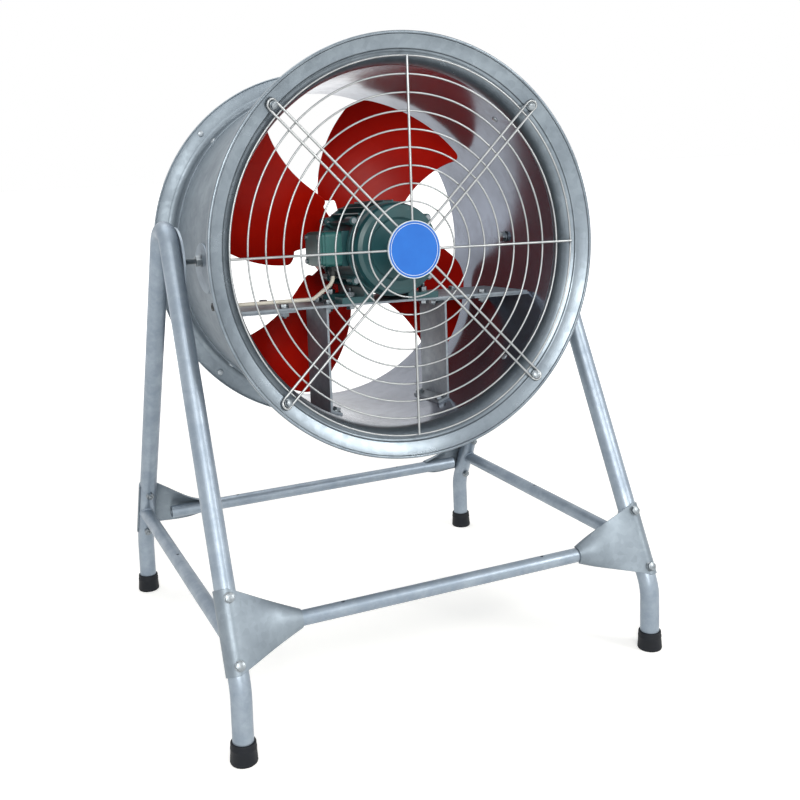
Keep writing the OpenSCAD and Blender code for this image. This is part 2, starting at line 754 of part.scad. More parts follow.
module pivot_bolt(side) {
    color(zinc) on_drum() rotate([0, side * 90, 0]) translate([0, 0, bolt_head_x])
        hex_bolt(pivot_bolt_d, pivot_end_x - bolt_head_x);
}
module left_pivot_bolt() { pivot_bolt(-1); }
module right_pivot_bolt() { pivot_bolt(1); }

module pivot_nuts() {
    color(zinc) on_drum() for (side = [-1, 1]) rotate([0, side * 90, 0]) {
        translate([0, 0, bolt_head_x + eps]) washer(pivot_bolt_d);
        translate([0, 0, jam_nut_x]) washer(pivot_bolt_d);
        translate([0, 0, jam_nut_x + pivot_washer_t]) hex_nut(pivot_bolt_d);
        translate([0, 0, lock_nut_x]) hex_nut(pivot_bolt_d);
    }
}

// Grille: rings behind the spokes, loops bent back on to the sloping flange
module grille_bolt_place(a) {
    rotate([0, -a, 0]) translate([grille_bolt_r, flange_y(grille_bolt_r), 0])
        rotate([0, 0, -cone_angle]) rotate([90, 0, 0]) children();
}
// A pair of wires runs out, bends on to the flange and closes in a half ring round the bolt
module spoke_pair() {
    start = inner_ring_r - 3;
    out = loop_corner_r - loop_tan - start;
    translate([start, spoke_y, 0]) {
        for (side = [-1, 1]) translate([0, 0, side * pair_pitch / 2]) mirror([0, 1, 0])
            rotate([0, 0, -90]) bent_rod([[out, loop_bend, cone_angle], [loop_run]], spoke_d, 90);
        mirror([0, 1, 0]) translate([out, loop_bend, 0]) rotate([0, 0, cone_angle])
            translate([loop_run, -loop_bend, 0]) rotate([90, 0, 0]) rotate([0, 0, -90]) {
                rotate_extrude(angle = 180) translate([pair_pitch / 2, 0]) circle(d = spoke_d);
                for (side = [-1, 1]) translate([side * pair_pitch / 2, 0, 0]) collar(spoke_d);
            }
    }
}
module front_grille() {
    outer = grille_d / 2;
    color(wire_plate) on_mount() {
        for (r = concat(inner_ring_r, [for (i = [0 : ring_count - 1]) outer - i * ring_pitch]))
            along_y(ring_y) rotate_extrude() translate([r, 0]) circle(d = ring_wire_d);
        for (a = spoke_angles) rotate([0, -a, 0]) translate([inner_ring_r, spoke_y, 0])
            rotate([0, 90, 0]) cylinder(h = outer - inner_ring_r, d = spoke_d);
        for (a = diagonals) rotate([0, -a, 0]) spoke_pair();
    }
}
module grille_bolts() {
    stack = spoke_d + grille_seat + grille_washer_t + ring_t + seat_gap;
    color(zinc) on_mount() for (a = diagonals) grille_bolt_place(a) {
        translate([0, 0, spoke_d + grille_seat]) {
            difference() {
                cylinder(h = grille_washer_t, d = grille_washer_d);
                translate([0, 0, -cut])
                    cylinder(h = grille_washer_t + 2 * cut, d = hole_d(grille_bolt_d));
            }
            translate([0, 0, grille_washer_t + eps]) rotate([180, 0, 0])
                hex_bolt(grille_bolt_d, stack + nut_t(grille_bolt_d) + 2);
        }
        translate([0, 0, -ring_t - seat_gap - nut_t(grille_bolt_d)]) hex_nut(grille_bolt_d);
    }
}

// Badge: a bare disc with a raised edge, clipped to the spokes
module badge() {
    r = badge_d / 2;
    color(badge_blue) on_mount() along_y() rotate_extrude()
        polygon([[0, badge_y + badge_edge[1]], [r - badge_edge[0] - 1, badge_y + badge_edge[1]],
            [r - badge_edge[0], badge_y], [r - 1, badge_y], [r, badge_y + 1],
            [r, badge_y + badge_t - seat_gap], [0, badge_y + badge_t - seat_gap]]);
}

// Motor plate with its brackets and uprights
module bolt_drill(places, d, z = mount_z) {
    for (p = places) translate([p[0], p[1], z])
        cylinder(h = drill_len, d = d, center = true);
}
function foot_places() = [for (sx = [-1, 1], sy = [-1, 1])
    [sx * foot_bolt_x / 2, motor_foot_mid + sy * foot_bolt_y / 2]];
function bracket_places(side) = [for (y = bracket_bolts_y) [side * bracket_bolt_x, y]];
function upright_places(side) = [for (sy = [-1, 1])
    [side * (upright_x - mount_t / 2 - tab_w / 2), -upright_front + upright_depth / 2
        + sy * upright_depth / 4]];
module motor_plate() {
    color(galvanised) on_mount() difference() {
        translate([-plate_half, -mount_front, mount_z - mount_t])
            cube([2 * plate_half, mount_depth, mount_t]);
        bolt_drill(foot_places(), hole_d(foot_bolt_d));
        for (side = [-1, 1]) {
            bolt_drill(bracket_places(side), mount_hole);
            bolt_drill(upright_places(side), mount_hole);
        }
    }
}
module wall_bracket(side) {
    inner = plate_half - bracket_len;
    color(galvanised) on_mount() difference() {
        intersection() {
            union() {
                translate([side > 0 ? inner : -throat_r, -bracket_front, bracket_z - mount_t])
                    cube([throat_r - inner, bracket_depth, mount_t]);
                translate([side > 0 ? inner : -throat_r, bracket_depth - bracket_front - mount_t,
                    bracket_z - tab_w]) cube([throat_r - inner, mount_t, tab_w]);
            }
            along_y(-lip_r) cylinder(h = 2 * lip_r, r = throat_r - seat_gap);
        }
        bolt_drill(bracket_places(side), mount_hole, bracket_z);
    }
}
module left_wall_bracket() { wall_bracket(-1); }
module right_wall_bracket() { wall_bracket(1); }

// Upright: a sheet on edge with a tab under the plate and a tab on the drum floor
module upright(side) {
    x0 = upright_x - mount_t / 2;
    color(galvanised) on_mount() mirror([side < 0 ? 1 : 0, 0, 0]) difference() {
        intersection() {
            union() {
                translate([x0, -upright_front, -throat_r])
                    cube([mount_t, upright_depth, throat_r + bracket_z]);
                translate([x0 - tab_w, -upright_front, bracket_z - mount_t])
                    cube([tab_w + eps, upright_depth, mount_t]);
                intersection() {
                    translate([x0 - tab_w, -upright_front, -throat_r])
                        cube([tab_w + eps, upright_depth, throat_r]);
                    along_y(-lip_r) ring(throat_r - seat_gap, throat_r - seat_gap - mount_t,
                        2 * lip_r);
                }
            }
            along_y(-lip_r) cylinder(h = 2 * lip_r, r = throat_r - seat_gap);
        }
        bolt_drill(upright_places(1), mount_hole, bracket_z);
        upright_foot_place() cylinder(h = drill_len, d = mount_hole, center = true);
    }
}
module upright_foot_place() {
    angle = acos((upright_x - mount_t / 2 - tab_w / 2) / throat_r);
    for (sy = [-1, 1]) rotate([0, angle, 0])
        translate([throat_r - mount_t - seat_gap,
            -upright_front + upright_depth / 2 + sy * upright_depth / 2.6, 0])
            rotate([0, 90, 0]) children();
}
module left_upright() { upright(-1); }
module right_upright() { upright(1); }

module through_bolt(d, grip) {
    translate([0, 0, grip / 2]) {
        washer(d);
        translate([0, 0, washer_t(d)]) rotate([180, 0, 0])
            hex_bolt(d, grip + washer_t(d) + nut_t(d) + 3);
    }
    translate([0, 0, -grip / 2 - nut_t(d)]) hex_nut(d);
}
module mount_bolts() {
    z = mount_z - mount_t;
    color(zinc) on_mount() for (side = [-1, 1]) {
        for (p = concat(bracket_places(side), upright_places(side)))
            translate([p[0], p[1], z]) through_bolt(mount_bolt_d, 2 * mount_t + 2 * eps);
        mirror([side < 0 ? 1 : 0, 0, 0]) upright_foot_place() {
            translate([0, 0, -foot_seat - washer_t(mount_bolt_d)]) {
                washer(mount_bolt_d);
                hex_bolt(mount_bolt_d, mount_t + washer_t(mount_bolt_d) + nut_t(mount_bolt_d) + 5);
            }
            translate([0, 0, mount_t + shell_t + 3 * seat_gap]) hex_nut(mount_bolt_d);
        }
    }
}

// Motor housing: round body, fins, feet and the seat of the terminal box
module motor_housing() {
    core_len_y = housing_len;
    color(motor_green) on_mount() difference() {
        union() {
            along_y(-housing_front) linear_extrude(core_len_y) {
                circle(r = housing_r);
                intersection() {
                    circle(r = fin_r);
                    for (a = [0 : fin_step : 359]) if (abs(a - 180) > 24 && abs(a - 270) > 20)
                        rotate(-a) translate([0, -fin_t / 2]) square([fin_r + cut, fin_t]);
                }
            }
            translate([-box_seat_x, box_mid_y - box_len / 2, box_mid_z - box_h / 2])
                cube([box_seat_x - stator_r / 2, box_len, box_h]);
            for (sx = [-1, 1], sy = [-1, 1]) translate([sx * foot_bolt_x / 2 - foot_pad_w / 2,
                motor_foot_mid + sy * foot_bolt_y / 2 - foot_pad_l / 2, -shaft_h])
                    cube([foot_pad_w, foot_pad_l, foot_t]);
            for (sx = [-1, 1]) translate([sx > 0 ? 34 : -50, -housing_front + 2, -shaft_h])
                cube([16, core_len_y - 4, shaft_h - stator_r / 2]);
            along_y(-housing_front + lug_inset) shield_lugs(lug_len);
            along_y(housing_rear - lug_len - lug_inset) shield_lugs(lug_len);
        }
        along_y(-housing_front - cut) cylinder(h = core_len_y + 2 * cut, r = stator_r);
        bolt_drill(foot_places(), hole_d(foot_bolt_d));
        along_y(-housing_front - cut) shield_screw_holes(core_len_y + 2 * cut);
    }
}
module shield_lugs(h) {
    for (a = shield_bolt_angles) rotate([0, 0, a]) {
        translate([shield_bolt_r, 0, 0]) cylinder(h = h, r = lug_r);
        translate([stator_r + 2, -lug_r + 1, 0])
            cube([shield_bolt_r - stator_r - 2, 2 * lug_r - 2, h]);
    }
}
module shield_screw_holes(h) {
    for (a = shield_bolt_angles) rotate([0, 0, a]) translate([shield_bolt_r, 0, 0])
        cylinder(h = h, d = hole_d(shield_bolt_d));
}
module motor_front_shield() {
    y0 = -housing_front;
    nose = -motor_front;
    cap = nose + 6;
    color(motor_green) on_mount() difference() {
        union() {
            along_y() rotate_extrude() polygon([[0, nose + 2], [cap_r, nose + 2], [cap_r + 2, nose + 4],
                [rim_r[0] - 4, nose + 4], [rim_r[0], nose], [rim_r[1], nose], [rim_r[2], nose + 3],
                [fin_r - 6, nose + 10],
                [fin_r - 5, y0 - shield_flange_t], [shield_flange_r, y0 - shield_flange_t],
                [shield_flange_r, y0], [stator_r - 2, y0], [stator_r - 6, cap + 8],
                [bearing_r + seat_wall, cap + 8], [bearing_r + seat_wall, front_bearing_y + bearing_w],
                [bearing_r, front_bearing_y + bearing_w], [bearing_r, front_bearing_y - eps],
                [bearing_r - 6, front_bearing_y - eps], [bearing_r - 6, cap], [0, cap]]);
            along_y(y0 - shield_flange_t) shield_lugs(shield_flange_t);
        }
        along_y(nose - cut) shield_screw_holes(motor_front - housing_front + 2 * cut);
    }
}
module motor_rear_shield() {
    y0 = housing_rear;
    end = rear_shield_end;
    color(motor_green) on_mount() difference() {
        union() {
            along_y() rotate_extrude() polygon([[stator_r - 2, y0], [shield_flange_r, y0],
                [shield_flange_r, y0 + shield_flange_t], [fin_r - 10, y0 + shield_flange_t + 3],
                [44, end - 2], [40, end], [shaft_d / 2 + shaft_gap, end],
                [shaft_d / 2 + shaft_gap, end - 5], [bearing_r - 6, end - 5],
                [bearing_r - 6, rear_bearing_y + bearing_w], [bearing_r, rear_bearing_y + bearing_w],
                [bearing_r, y0 + 2], [bearing_r + seat_wall, y0 + 2],
                [bearing_r + seat_wall + 3, y0 + 6], [stator_r - 8, y0 + 6]]);
            along_y(y0) shield_lugs(shield_flange_t);
        }
        along_y(y0 - cut) shield_screw_holes(end - y0 + 2 * cut);
    }
}
module shield_screws() {
    color(zinc) on_mount() for (a = shield_bolt_angles) {
        translate([0, -housing_front - shield_flange_t, 0]) rotate([-90, 0, 0]) rotate([0, 0, a])
            translate([shield_bolt_r, 0, 0]) hex_bolt(shield_bolt_d, 22);
        translate([0, housing_rear + shield_flange_t, 0]) rotate([90, 0, 0]) rotate([0, 0, -a])
            translate([shield_bolt_r, 0, 0]) hex_bolt(shield_bolt_d, 22);
    }
}

// Inside the motor
module stator_core() {
    color(steel) on_drum() along_y(core_mid - core_len / 2)
        ring(stator_r - eps, stator_bore_r, core_len);
}
module stator_windings() {
    color(copper) on_drum() for (y = [core_mid - core_len / 2 - winding_w, core_mid + core_len / 2])
        along_y(y) ring(stator_r - 4, stator_bore_r + 2, winding_w);
}
module bearing_places() {
    along_y(front_bearing_y) children();
    along_y(rear_bearing_y) children();
}
module bearing_outer_rings() {
    ball_r = (bearing_r + shaft_d / 2) / 2;
    color(steel) on_drum() bearing_places() {
        ring(bearing_r, bearing_r - bearing_ring_t, bearing_w);
        for (i = [0 : ball_count - 1]) rotate([0, 0, i * 360 / ball_count])
            translate([ball_r, 0, bearing_w / 2]) sphere(d = ball_d - 2 * seat_gap, $fn = 32);
    }
}
module bearing_inner_rings() {
    color(steel) on_drum() bearing_places()
        ring(shaft_d / 2 + bearing_ring_t, shaft_d / 2 + eps, bearing_w);
}

// Terminal box, lid, screws and gland
module box_block(x_in, x_out, inset = 0) {
    r = box_corner - inset;
    w = box_len - 2 * inset;
    h = box_h - 2 * inset;
    translate([-x_in, box_mid_y, box_mid_z]) rotate([0, -90, 0]) linear_extrude(x_out - x_in) {
        square([h - 2 * r, w], center = true);
        square([h, w - 2 * r], center = true);
        for (sx = [-1, 1], sy = [-1, 1]) translate([sx * (h / 2 - r), sy * (w / 2 - r)])
            circle(r = r);
    }
}
module lid_screw_places() {
    for (sy = [-1, 1], sz = [-1, 1])
        translate([0, box_mid_y + sy * (box_len / 2 - box_corner), box_mid_z
            + sz * (box_h / 2 - box_corner)]) rotate([0, -90, 0]) children();
}
module gland_place() {
    translate([-lead_x, lead_y, box_mid_z - box_h / 2 + box_wall]) children();
}
module terminal_box() {
    color(motor_green) on_mount() difference() {
        union() {
            difference() {
                box_block(box_seat_x + eps, box_out_x);
                box_block(box_seat_x + box_wall, box_out_x + cut, box_wall);
            }
            intersection() {
                box_block(box_seat_x + eps, box_out_x);
                lid_screw_places() cylinder(h = box_out_x, r = box_corner - 2);
            }
        }
        lid_screw_places() translate([0, 0, box_seat_x + box_wall])
            cylinder(h = box_depth, d = hole_d(lid_screw_d));
        gland_place() translate([0, 0, -2 * box_wall])
            cylinder(h = 4 * box_wall, d = lead_d + 4 + 2 * seat_gap);
    }
}
module terminal_box_lid() {
    color(motor_green) on_mount() difference() {
        union() {
            box_block(box_out_x + eps, box_out_x + lid_depth / 2);
            box_block(box_out_x + eps, box_out_x + lid_depth * 0.8, 1.5);
            box_block(box_out_x + eps, lid_out_x, 4);
        }
        box_block(box_out_x - cut, lid_out_x - box_wall, 2 * box_wall);
        lid_screw_places() translate([0, 0, box_out_x - cut])
            cylinder(h = lid_depth + 2 * cut, d = hole_d(lid_screw_d));
    }
}
module lid_screws() {
    color(zinc) on_mount() lid_screw_places() translate([0, 0, lid_out_x + eps])
        rotate([180, 0, 0]) hex_bolt(lid_screw_d, lid_depth + 10);
}
module cable_gland() {
    color(rubber) on_mount() gland_place() difference() {
        union() {
            translate([0, 0, -box_wall - gland_len]) cylinder(h = 8, d1 = gland_d - 4, d2 = gland_d);
            translate([0, 0, -box_wall - gland_len + 8])
                hex_bar(gland_d, gland_len - 8 - seat_gap);
            translate([0, 0, -box_wall - cut]) cylinder(h = box_wall + cut, d = lead_d + 4);
        }
        translate([0, 0, -2 * gland_len]) cylinder(h = 3 * gland_len, d = lead_d + 2 * seat_gap);
    }
}

// Motor lead: down from the gland, slanting towards the plate, then over it to the drum wall
module motor_lead() {
    steps = [[lead_drop, lead_bend_r, 90 - lead_slope],
        [lead_slant, lead_bend_r, lead_slope], [lead_level]];
    color(sheath) on_mount() translate([-lead_x, lead_y, lead_start_z]) rotate([90, 0, 180])
        rotate([0, 0, 180]) bent_rod(steps, lead_d);
}
module wall_gland() {
    color(rubber) on_mount() translate([-lead_wall_x, lead_y, lead_rest_z]) rotate([0, -90, 0])
        difference() {
            union() {
                translate([0, 0, -6]) cylinder(h = 20, d = wall_gland_d);
                translate([0, 0, -14]) cylinder(h = 9, d = wall_gland_d + gland_lip);
                translate([0, 0, 12]) cylinder(h = 10, d1 = wall_gland_d + gland_lip, d2 = lead_d + 6);
            }
            cylinder(h = drill_len, d = lead_d + 2 * seat_gap, center = true);
        }
}
module motor_foot_bolts() {
    grip = foot_t + mount_t;
    color(zinc) on_mount() for (p = foot_places())
        translate([p[0], p[1], mount_z + (foot_t - mount_t) / 2])
            through_bolt(foot_bolt_d, grip + 2 * eps);
}

// Turning parts
module key_block(extra = 0) {
    translate([-key[0] / 2 - extra, hub_mid - key[2] / 2, hub_shaft_d / 2 - key[1] * 0.57 - extra])
        cube([key[0] + 2 * extra, key[2], key[1] + 2 * extra]);
}
module motor_shaft() {
    color(steel) on_drum() difference() {
        union() {
            along_y(shaft_front) cylinder(h = rear_shield_end + 6 - shaft_front, d = shaft_d);
            along_y(front_bearing_y + bearing_w + eps)
                cylinder(h = rear_bearing_y - front_bearing_y - bearing_w - 2 * eps,
                    d = core_shaft_d);
            along_y(shaft_front) cylinder(h = shaft_end - shaft_front, d = hub_shaft_d);
        }
        key_block(eps);
        along_y(shaft_end - 24) cylinder(h = 30, d = hole_d(8));
    }
}
module rotor_core() {
    color(steel) on_drum() along_y(core_mid - core_len / 2)
        ring(rotor_r, core_shaft_d / 2 + eps, core_len);
}
module hub_key() {
    color(steel) on_drum() key_block();
}
module impeller_hub() {
    color(red_paint) on_drum() difference() {
        along_y() rotate_extrude() polygon([[hub_shaft_d / 2 + eps, hub_start],
            [boss_r, hub_start], [boss_r, hub_mid - web_t / 2],
            [hub_r - rim_t, hub_mid - web_t / 2], [hub_r - rim_t, hub_start + 2], [hub_r, hub_start + 2],
            [hub_r, hub_end - 2], [hub_r - rim_t, hub_end - 2],
            [hub_r - rim_t, hub_mid + web_t / 2], [boss_r, hub_mid + web_t / 2],
            [boss_r, hub_end], [hub_shaft_d / 2 + eps, hub_end]]);
        translate([-key[0] / 2 - eps, hub_start - cut, 0])
            cube([key[0] + 2 * eps, hub_w + 2 * cut, hub_shaft_d / 2 + key[1] * 0.43 + eps]);
    }
}
module hub_bolt() {
    color(zinc) on_drum() along_y(hub_end + eps) {
        ring(16, 4 + seat_gap, 3);
        translate([0, 0, 3 + eps]) rotate([180, 0, 0]) hex_bolt(8, 3 + 18);
    }
}

// Blade: a cambered sheet between two edge lines given as angles round the drum axis
function front_edge(r) = lead_angle - lead_curl * pow(max(0, 1 - r / curl_r), 2)
    - lead_sweep * pow(max(0, r / sweep_r - 1), 2);
function rear_edge(r) = trail_angle - trail_lean * (min(r, tip_r) - trail_r);
function smooth(t) = let (c = min(1, max(0, t))) c * c * (3 - 2 * c);
function corner(v, share, size) = v >= share ? 0
    : size * (1 - sqrt(max(0, 1 - pow(1 - v / share, 2))));
function blade_outer(v) = tip_r - corner(v, tip_share[0], tip_round[0])
    - corner(1 - v, tip_share[1], tip_round[1]);
function blade_inner(v) = let (
        wide = smooth((neck[0] - v) / neck_blend) + smooth((v - neck[1]) / neck_blend),
        edge = corner(v, 0.16, 14) + corner(1 - v, 0.16, 14))
    hub_r + seat_gap + (blade_root_r - hub_r) * min(1, wide) + edge;
function blade_point(r, v, lift) = let (
        a = front_edge(r) + v * (rear_edge(r) - front_edge(r)),
        y = blade_front + blade_t + v * (blade_depth - 2 * blade_t)
            - blade_camber * 4 * v * (1 - v) * (r / tip_r) + lift)
    [r * cos(a), y, r * sin(a)];
module blade(turn) {
    cols = blade_cols;
    rows = blade_rows;
    grid = [for (lift = [-blade_t / 2, blade_t / 2], i = [0 : rows], j = [0 : cols])
        let (v = j / cols, r = blade_inner(v) + (blade_outer(v) - blade_inner(v)) * i / rows)
            blade_point(r, v, lift)];
    side = (rows + 1) * (cols + 1);
    rim = concat([for (j = [0 : cols]) j],
        [for (i = [1 : rows]) i * (cols + 1) + cols],
        [for (j = [cols - 1 : -1 : 0]) rows * (cols + 1) + j],
        [for (i = [rows - 1 : -1 : 1]) i * (cols + 1)]);
    cells = [for (i = [0 : rows - 1], j = [0 : cols - 1]) i * (cols + 1) + j];
    front = [for (c = cells) each [[c, c + 1, c + cols + 2], [c, c + cols + 2, c + cols + 1]]];
    back = [for (f = front) [f[0] + side, f[2] + side, f[1] + side]];
    n = len(rim);
    wall = [for (k = [0 : n - 1]) let (p = rim[k], q = rim[(k + 1) % n])
        each [[p, p + side, q + side], [p, q + side, q]]];
    color(red_paint) on_drum() rotate([0, -turn, 0])
        polyhedron(points = grid, faces = concat(front, back, wall), convexity = 6);
}
module blade_1() { blade(blade_turns[0]); }
module blade_2() { blade(blade_turns[1]); }
module blade_3() { blade(blade_turns[2]); }
module blade_4() { blade(blade_turns[3]); }

left_side_frame();
right_side_frame();
left_side_rail();
right_side_rail();
front_cross_tube();
rear_cross_tube();
front_left_gusset();
front_right_gusset();
rear_left_gusset();
rear_right_gusset();
gusset_bolts();
left_pivot_plate();
right_pivot_plate();
front_left_foot();
front_right_foot();
rear_left_foot();
rear_right_foot();
drum_shell();
front_bell_ring();
rear_flange_ring();
ring_rivets();
left_pivot_pad();
right_pivot_pad();
left_pivot_bolt();
right_pivot_bolt();
pivot_nuts();
front_grille();
grille_bolts();
badge();
motor_plate();
left_wall_bracket();
right_wall_bracket();
left_upright();
right_upright();
mount_bolts();
motor_housing();
motor_front_shield();
motor_rear_shield();
shield_screws();
stator_core();
stator_windings();
bearing_outer_rings();
bearing_inner_rings();
terminal_box();
terminal_box_lid();
lid_screws();
cable_gland();
motor_lead();
wall_gland();
motor_foot_bolts();
motor_shaft();
rotor_core();
hub_key();
impeller_hub();
blade_1();
blade_2();
blade_3();
blade_4();
hub_bolt();
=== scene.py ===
import bpy
import bmesh
import math
from mathutils import Matrix, Vector


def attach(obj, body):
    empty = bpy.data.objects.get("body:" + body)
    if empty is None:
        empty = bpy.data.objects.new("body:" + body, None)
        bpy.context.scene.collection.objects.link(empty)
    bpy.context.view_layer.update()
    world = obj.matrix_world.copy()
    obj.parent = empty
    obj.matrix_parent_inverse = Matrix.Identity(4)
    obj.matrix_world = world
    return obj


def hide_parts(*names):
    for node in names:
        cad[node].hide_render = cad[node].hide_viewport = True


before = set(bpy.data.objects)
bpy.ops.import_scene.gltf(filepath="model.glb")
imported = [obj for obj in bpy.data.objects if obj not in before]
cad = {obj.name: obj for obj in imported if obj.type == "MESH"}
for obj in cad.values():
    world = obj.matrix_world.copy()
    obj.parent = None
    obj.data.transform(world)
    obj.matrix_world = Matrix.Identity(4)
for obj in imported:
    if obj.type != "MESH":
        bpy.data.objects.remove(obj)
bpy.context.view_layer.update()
mm = 0.001


# small helpers; all lengths are in millimetres until a mesh is made


def move(x=0, y=0, z=0):
    return Matrix.Translation((x, y, z))


def turn(degrees, axis):
    return Matrix.Rotation(math.radians(degrees), 4, axis)


def flip(x=1, y=1, z=1):
    return Matrix.Diagonal((x, y, z, 1))


def smooth(t):
    t = min(1, max(0, t))
    return t * t * (3 - 2 * t)


def arc(start, end, steps):
    # evenly spaced values from start to end, both included
    return [start + (end - start) * k / steps for k in range(steps + 1)]


def lathe(profile, sides, closed=True):
    # spins (radius, height) points round local Z; a closed profile makes a ring
    verts, faces, count = [], [], len(profile)
    for s in range(sides):
        a = 2 * math.pi * s / sides
        verts += [(r * math.cos(a), r * math.sin(a), h) for r, h in profile]
    last = count if closed else count - 1
    for s in range(sides):
        here, there = s * count, (s + 1) % sides * count
        for i in range(last):
            j = (i + 1) % count
            faces.append((here + i, there + i, there + j, here + j))
    return verts, faces


# points round a hexagon, how far down and in the middle of its chamfer lies as shares of the
# chamfer, and the flat top's radius as a share of half the flats
hexagon = {"sides": 24, "chamferDown": 0.4, "chamferIn": 0.55, "topShare": 0.97}


def hexBlock(flats, low, high, chamfer, bore=0.0):
    # a hexagonal head or nut along Z with a turned chamfer on its outer end
    edge, sides = flats / 2 / math.cos(math.pi / 6), hexagon["sides"]

    def ringAt(z, cap):
        points = []
        for a in arc(0, 2 * math.pi, sides)[:-1]:
            inSector = (a + math.pi / 6) % (math.pi / 3) - math.pi / 6
            reach = min(flats / 2 / math.cos(inSector), cap)
            points.append((reach * math.cos(a), reach * math.sin(a), z))
        return points

    rings = [ringAt(low, edge), ringAt(high - chamfer, edge),
             ringAt(high - hexagon["chamferDown"] * chamfer, edge - hexagon["chamferIn"] * chamfer),
             ringAt(high, flats / 2 * hexagon["topShare"])]
    if bore:
        rings += [ringAt(high, bore), ringAt(low, bore)]
    verts, faces, rows = [p for ring in rings for p in ring], [], len(rings)
    for k in range(rows if bore else rows - 1):
        n = (k + 1) % rows
        for r in range(sides):
            t = (r + 1) % sides
            faces.append((k * sides + r, k * sides + t, n * sides + t, n * sides + r))
    if not bore:
        faces.append(tuple(range(sides))[::-1])
        faces.append(tuple((rows - 1) * sides + r for r in range(sides)))
    return verts, faces


# ridges of a thread: depth and the places of root and crest as shares of the pitch; the tip's
# length and cut in millimetres
thread = {"depth": 0.35, "root": 0.3, "crest": 0.8, "tipDepth": 0.3, "tip": 0.8, "tipCut": 1.0,
          "sides": 24}


def threadedRod(radius, low, high, threadFrom, pitch):
    # plain shank, then ridges of a real pitch, with a small cone at the tip
    profile = [(0, low), (radius, low), (radius, threadFrom)]
    z = threadFrom
    while z + pitch < high - thread["tip"]:
        profile += [(radius - thread["depth"] * pitch, z + thread["root"] * pitch),
                    (radius, z + thread["crest"] * pitch)]
        z += pitch
    profile += [(radius - thread["tipDepth"] * pitch, high - thread["tip"]),
                (radius - thread["tipCut"], high), (0, high)]
    return lathe(profile, thread["sides"], closed=False)


class Parts:
    # gathers several bodies into one mesh, each placed by its own matrix
    def __init__(self):
        self.verts, self.faces = [], []

    def add(self, shape, place=None):
        verts, faces = meshOf(shape)
        start = len(self.verts)
        m = place or Matrix()
        self.verts += [m @ Vector(v) for v in verts]
        self.faces += [tuple(i + start for i in f) for f in faces]
        return self


def meshOf(shape):
    # a shape is either Parts or a pair of vertices and faces
    return (shape.verts, shape.faces) if isinstance(shape, Parts) else shape


# points closer than join, in metres, become one; bevels round edges sharper than bevelAngle
meshing = {"join": 1e-6, "bevelAngle": 40, "bevelSteps": 2}


def makePiece(name, shape, body, material, stands, sharpAngle=35, thickness=0, bevel=0):
    verts, faces = meshOf(shape)
    mesh = bpy.data.meshes.new(name)
    built = bmesh.new()
    made = [built.verts.new(Vector(v) * mm) for v in verts]
    for f in faces:
        if len(set(f)) > 2:
            built.faces.new([made[i] for i in f])
    bmesh.ops.remove_doubles(built, verts=built.verts, dist=meshing["join"])
    bmesh.ops.recalc_face_normals(built, faces=built.faces)
    built.to_mesh(mesh)
    built.free()
    mesh.polygons.foreach_set("use_smooth", [True] * len(mesh.polygons))
    mesh.set_sharp_from_angle(angle=math.radians(sharpAngle))
    mesh.materials.append(material)
    piece = bpy.data.objects.new(name, mesh)
    bpy.context.scene.collection.objects.link(piece)
    if thickness:
        solid = piece.modifiers.new("sheetThickness", "SOLIDIFY")
        solid.thickness, solid.offset, solid.use_even_offset = thickness * mm, 0, True
    if bevel:
        edge = piece.modifiers.new("edgeRadius", "BEVEL")
        edge.width, edge.segments, edge.limit_method = bevel * mm, meshing["bevelSteps"], "ANGLE"
        edge.angle_limit, edge.harden_normals = math.radians(meshing["bevelAngle"]), True
    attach(piece, body)
    if stands:
        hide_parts(*stands)


# materials; texture patterns are placed by Object coordinates, so their scale is a real size


def srgb(code):
    value = [int(code[i:i + 2], 16) / 255 for i in (1, 3, 5)]
    return tuple(c / 12.92 if c < 0.04045 else ((c + 0.055) / 1.055) ** 2.4 for c in value) + (1,)


def addNode(tree, kind, inputs, into=None, **settings):
    # inputs take values or other nodes' outputs; into maps an output to the socket it feeds. A mix
    # of colours has them at sockets 6 and 7, a mix of values at 2 and 3, and its factor at 0
    made = tree.nodes.new(kind)
    for key, value in settings.items():
        setattr(made, key, value)
    for socket, value in inputs.items():
        if isinstance(value, bpy.types.NodeSocket):
            tree.links.new(value, made.inputs[socket])
        else:
            made.inputs[socket].default_value = value
    for output, socket in (into or {}).items():
        tree.links.new(made.outputs[output], socket)
    return made


def newMaterial(name, **constants):
    # constants go straight on the shader's own sockets
    material = bpy.data.materials.new(name)
    material.use_nodes = True
    tree = material.node_tree
    tree.nodes.clear()
    shader = addNode(tree, "ShaderNodeBsdfPrincipled",
                     {key.replace("_", " "): value for key, value in constants.items()})
    addNode(tree, "ShaderNodeOutputMaterial", {"Surface": shader.outputs[0]})
    where = addNode(tree, "ShaderNodeTexCoord", {}).outputs["Object"]
    return material, tree, shader, where


def perMetre(size):
    # texture scale for a pattern whose repeat is this many millimetres
    return 1000 / size


# the drum's place and tilt on the stand, the mount's turn in it, its inner radius and its wall
drumPlace = {"pivotHeight": 722, "tilt": 3.1, "mountTurn": 1.3, "throat": 300, "sheet": 1.5}

# spangle, cloud, grain and its depth in millimetres; the tone runs from toneFrom over toneSpan
galvanisedLook = {"dark": "#76818B", "light": "#8E9AA4", "spangle": 9, "crystals": 0.14,
                  "cloud": 90, "glossy": 0.36, "dull": 0.50, "edge": 0.6, "grain": 1.2,
                  "grainDepth": 0.03, "metal": 0.55, "toneFrom": 0.4, "toneSpan": 0.35}
# the drum's inner side is glossier and mirrors the impeller; its darker, purple-tinged tone is
# painted shade and painted reflection of the red blades; the change comes inside the sheet
shadedDrumInside = {"radius": 300.8, "blend": 0.3, "dark": "#757B88", "light": "#8A91A0",
              "glossy": 0.12, "dull": 0.22, "metal": 0.78}


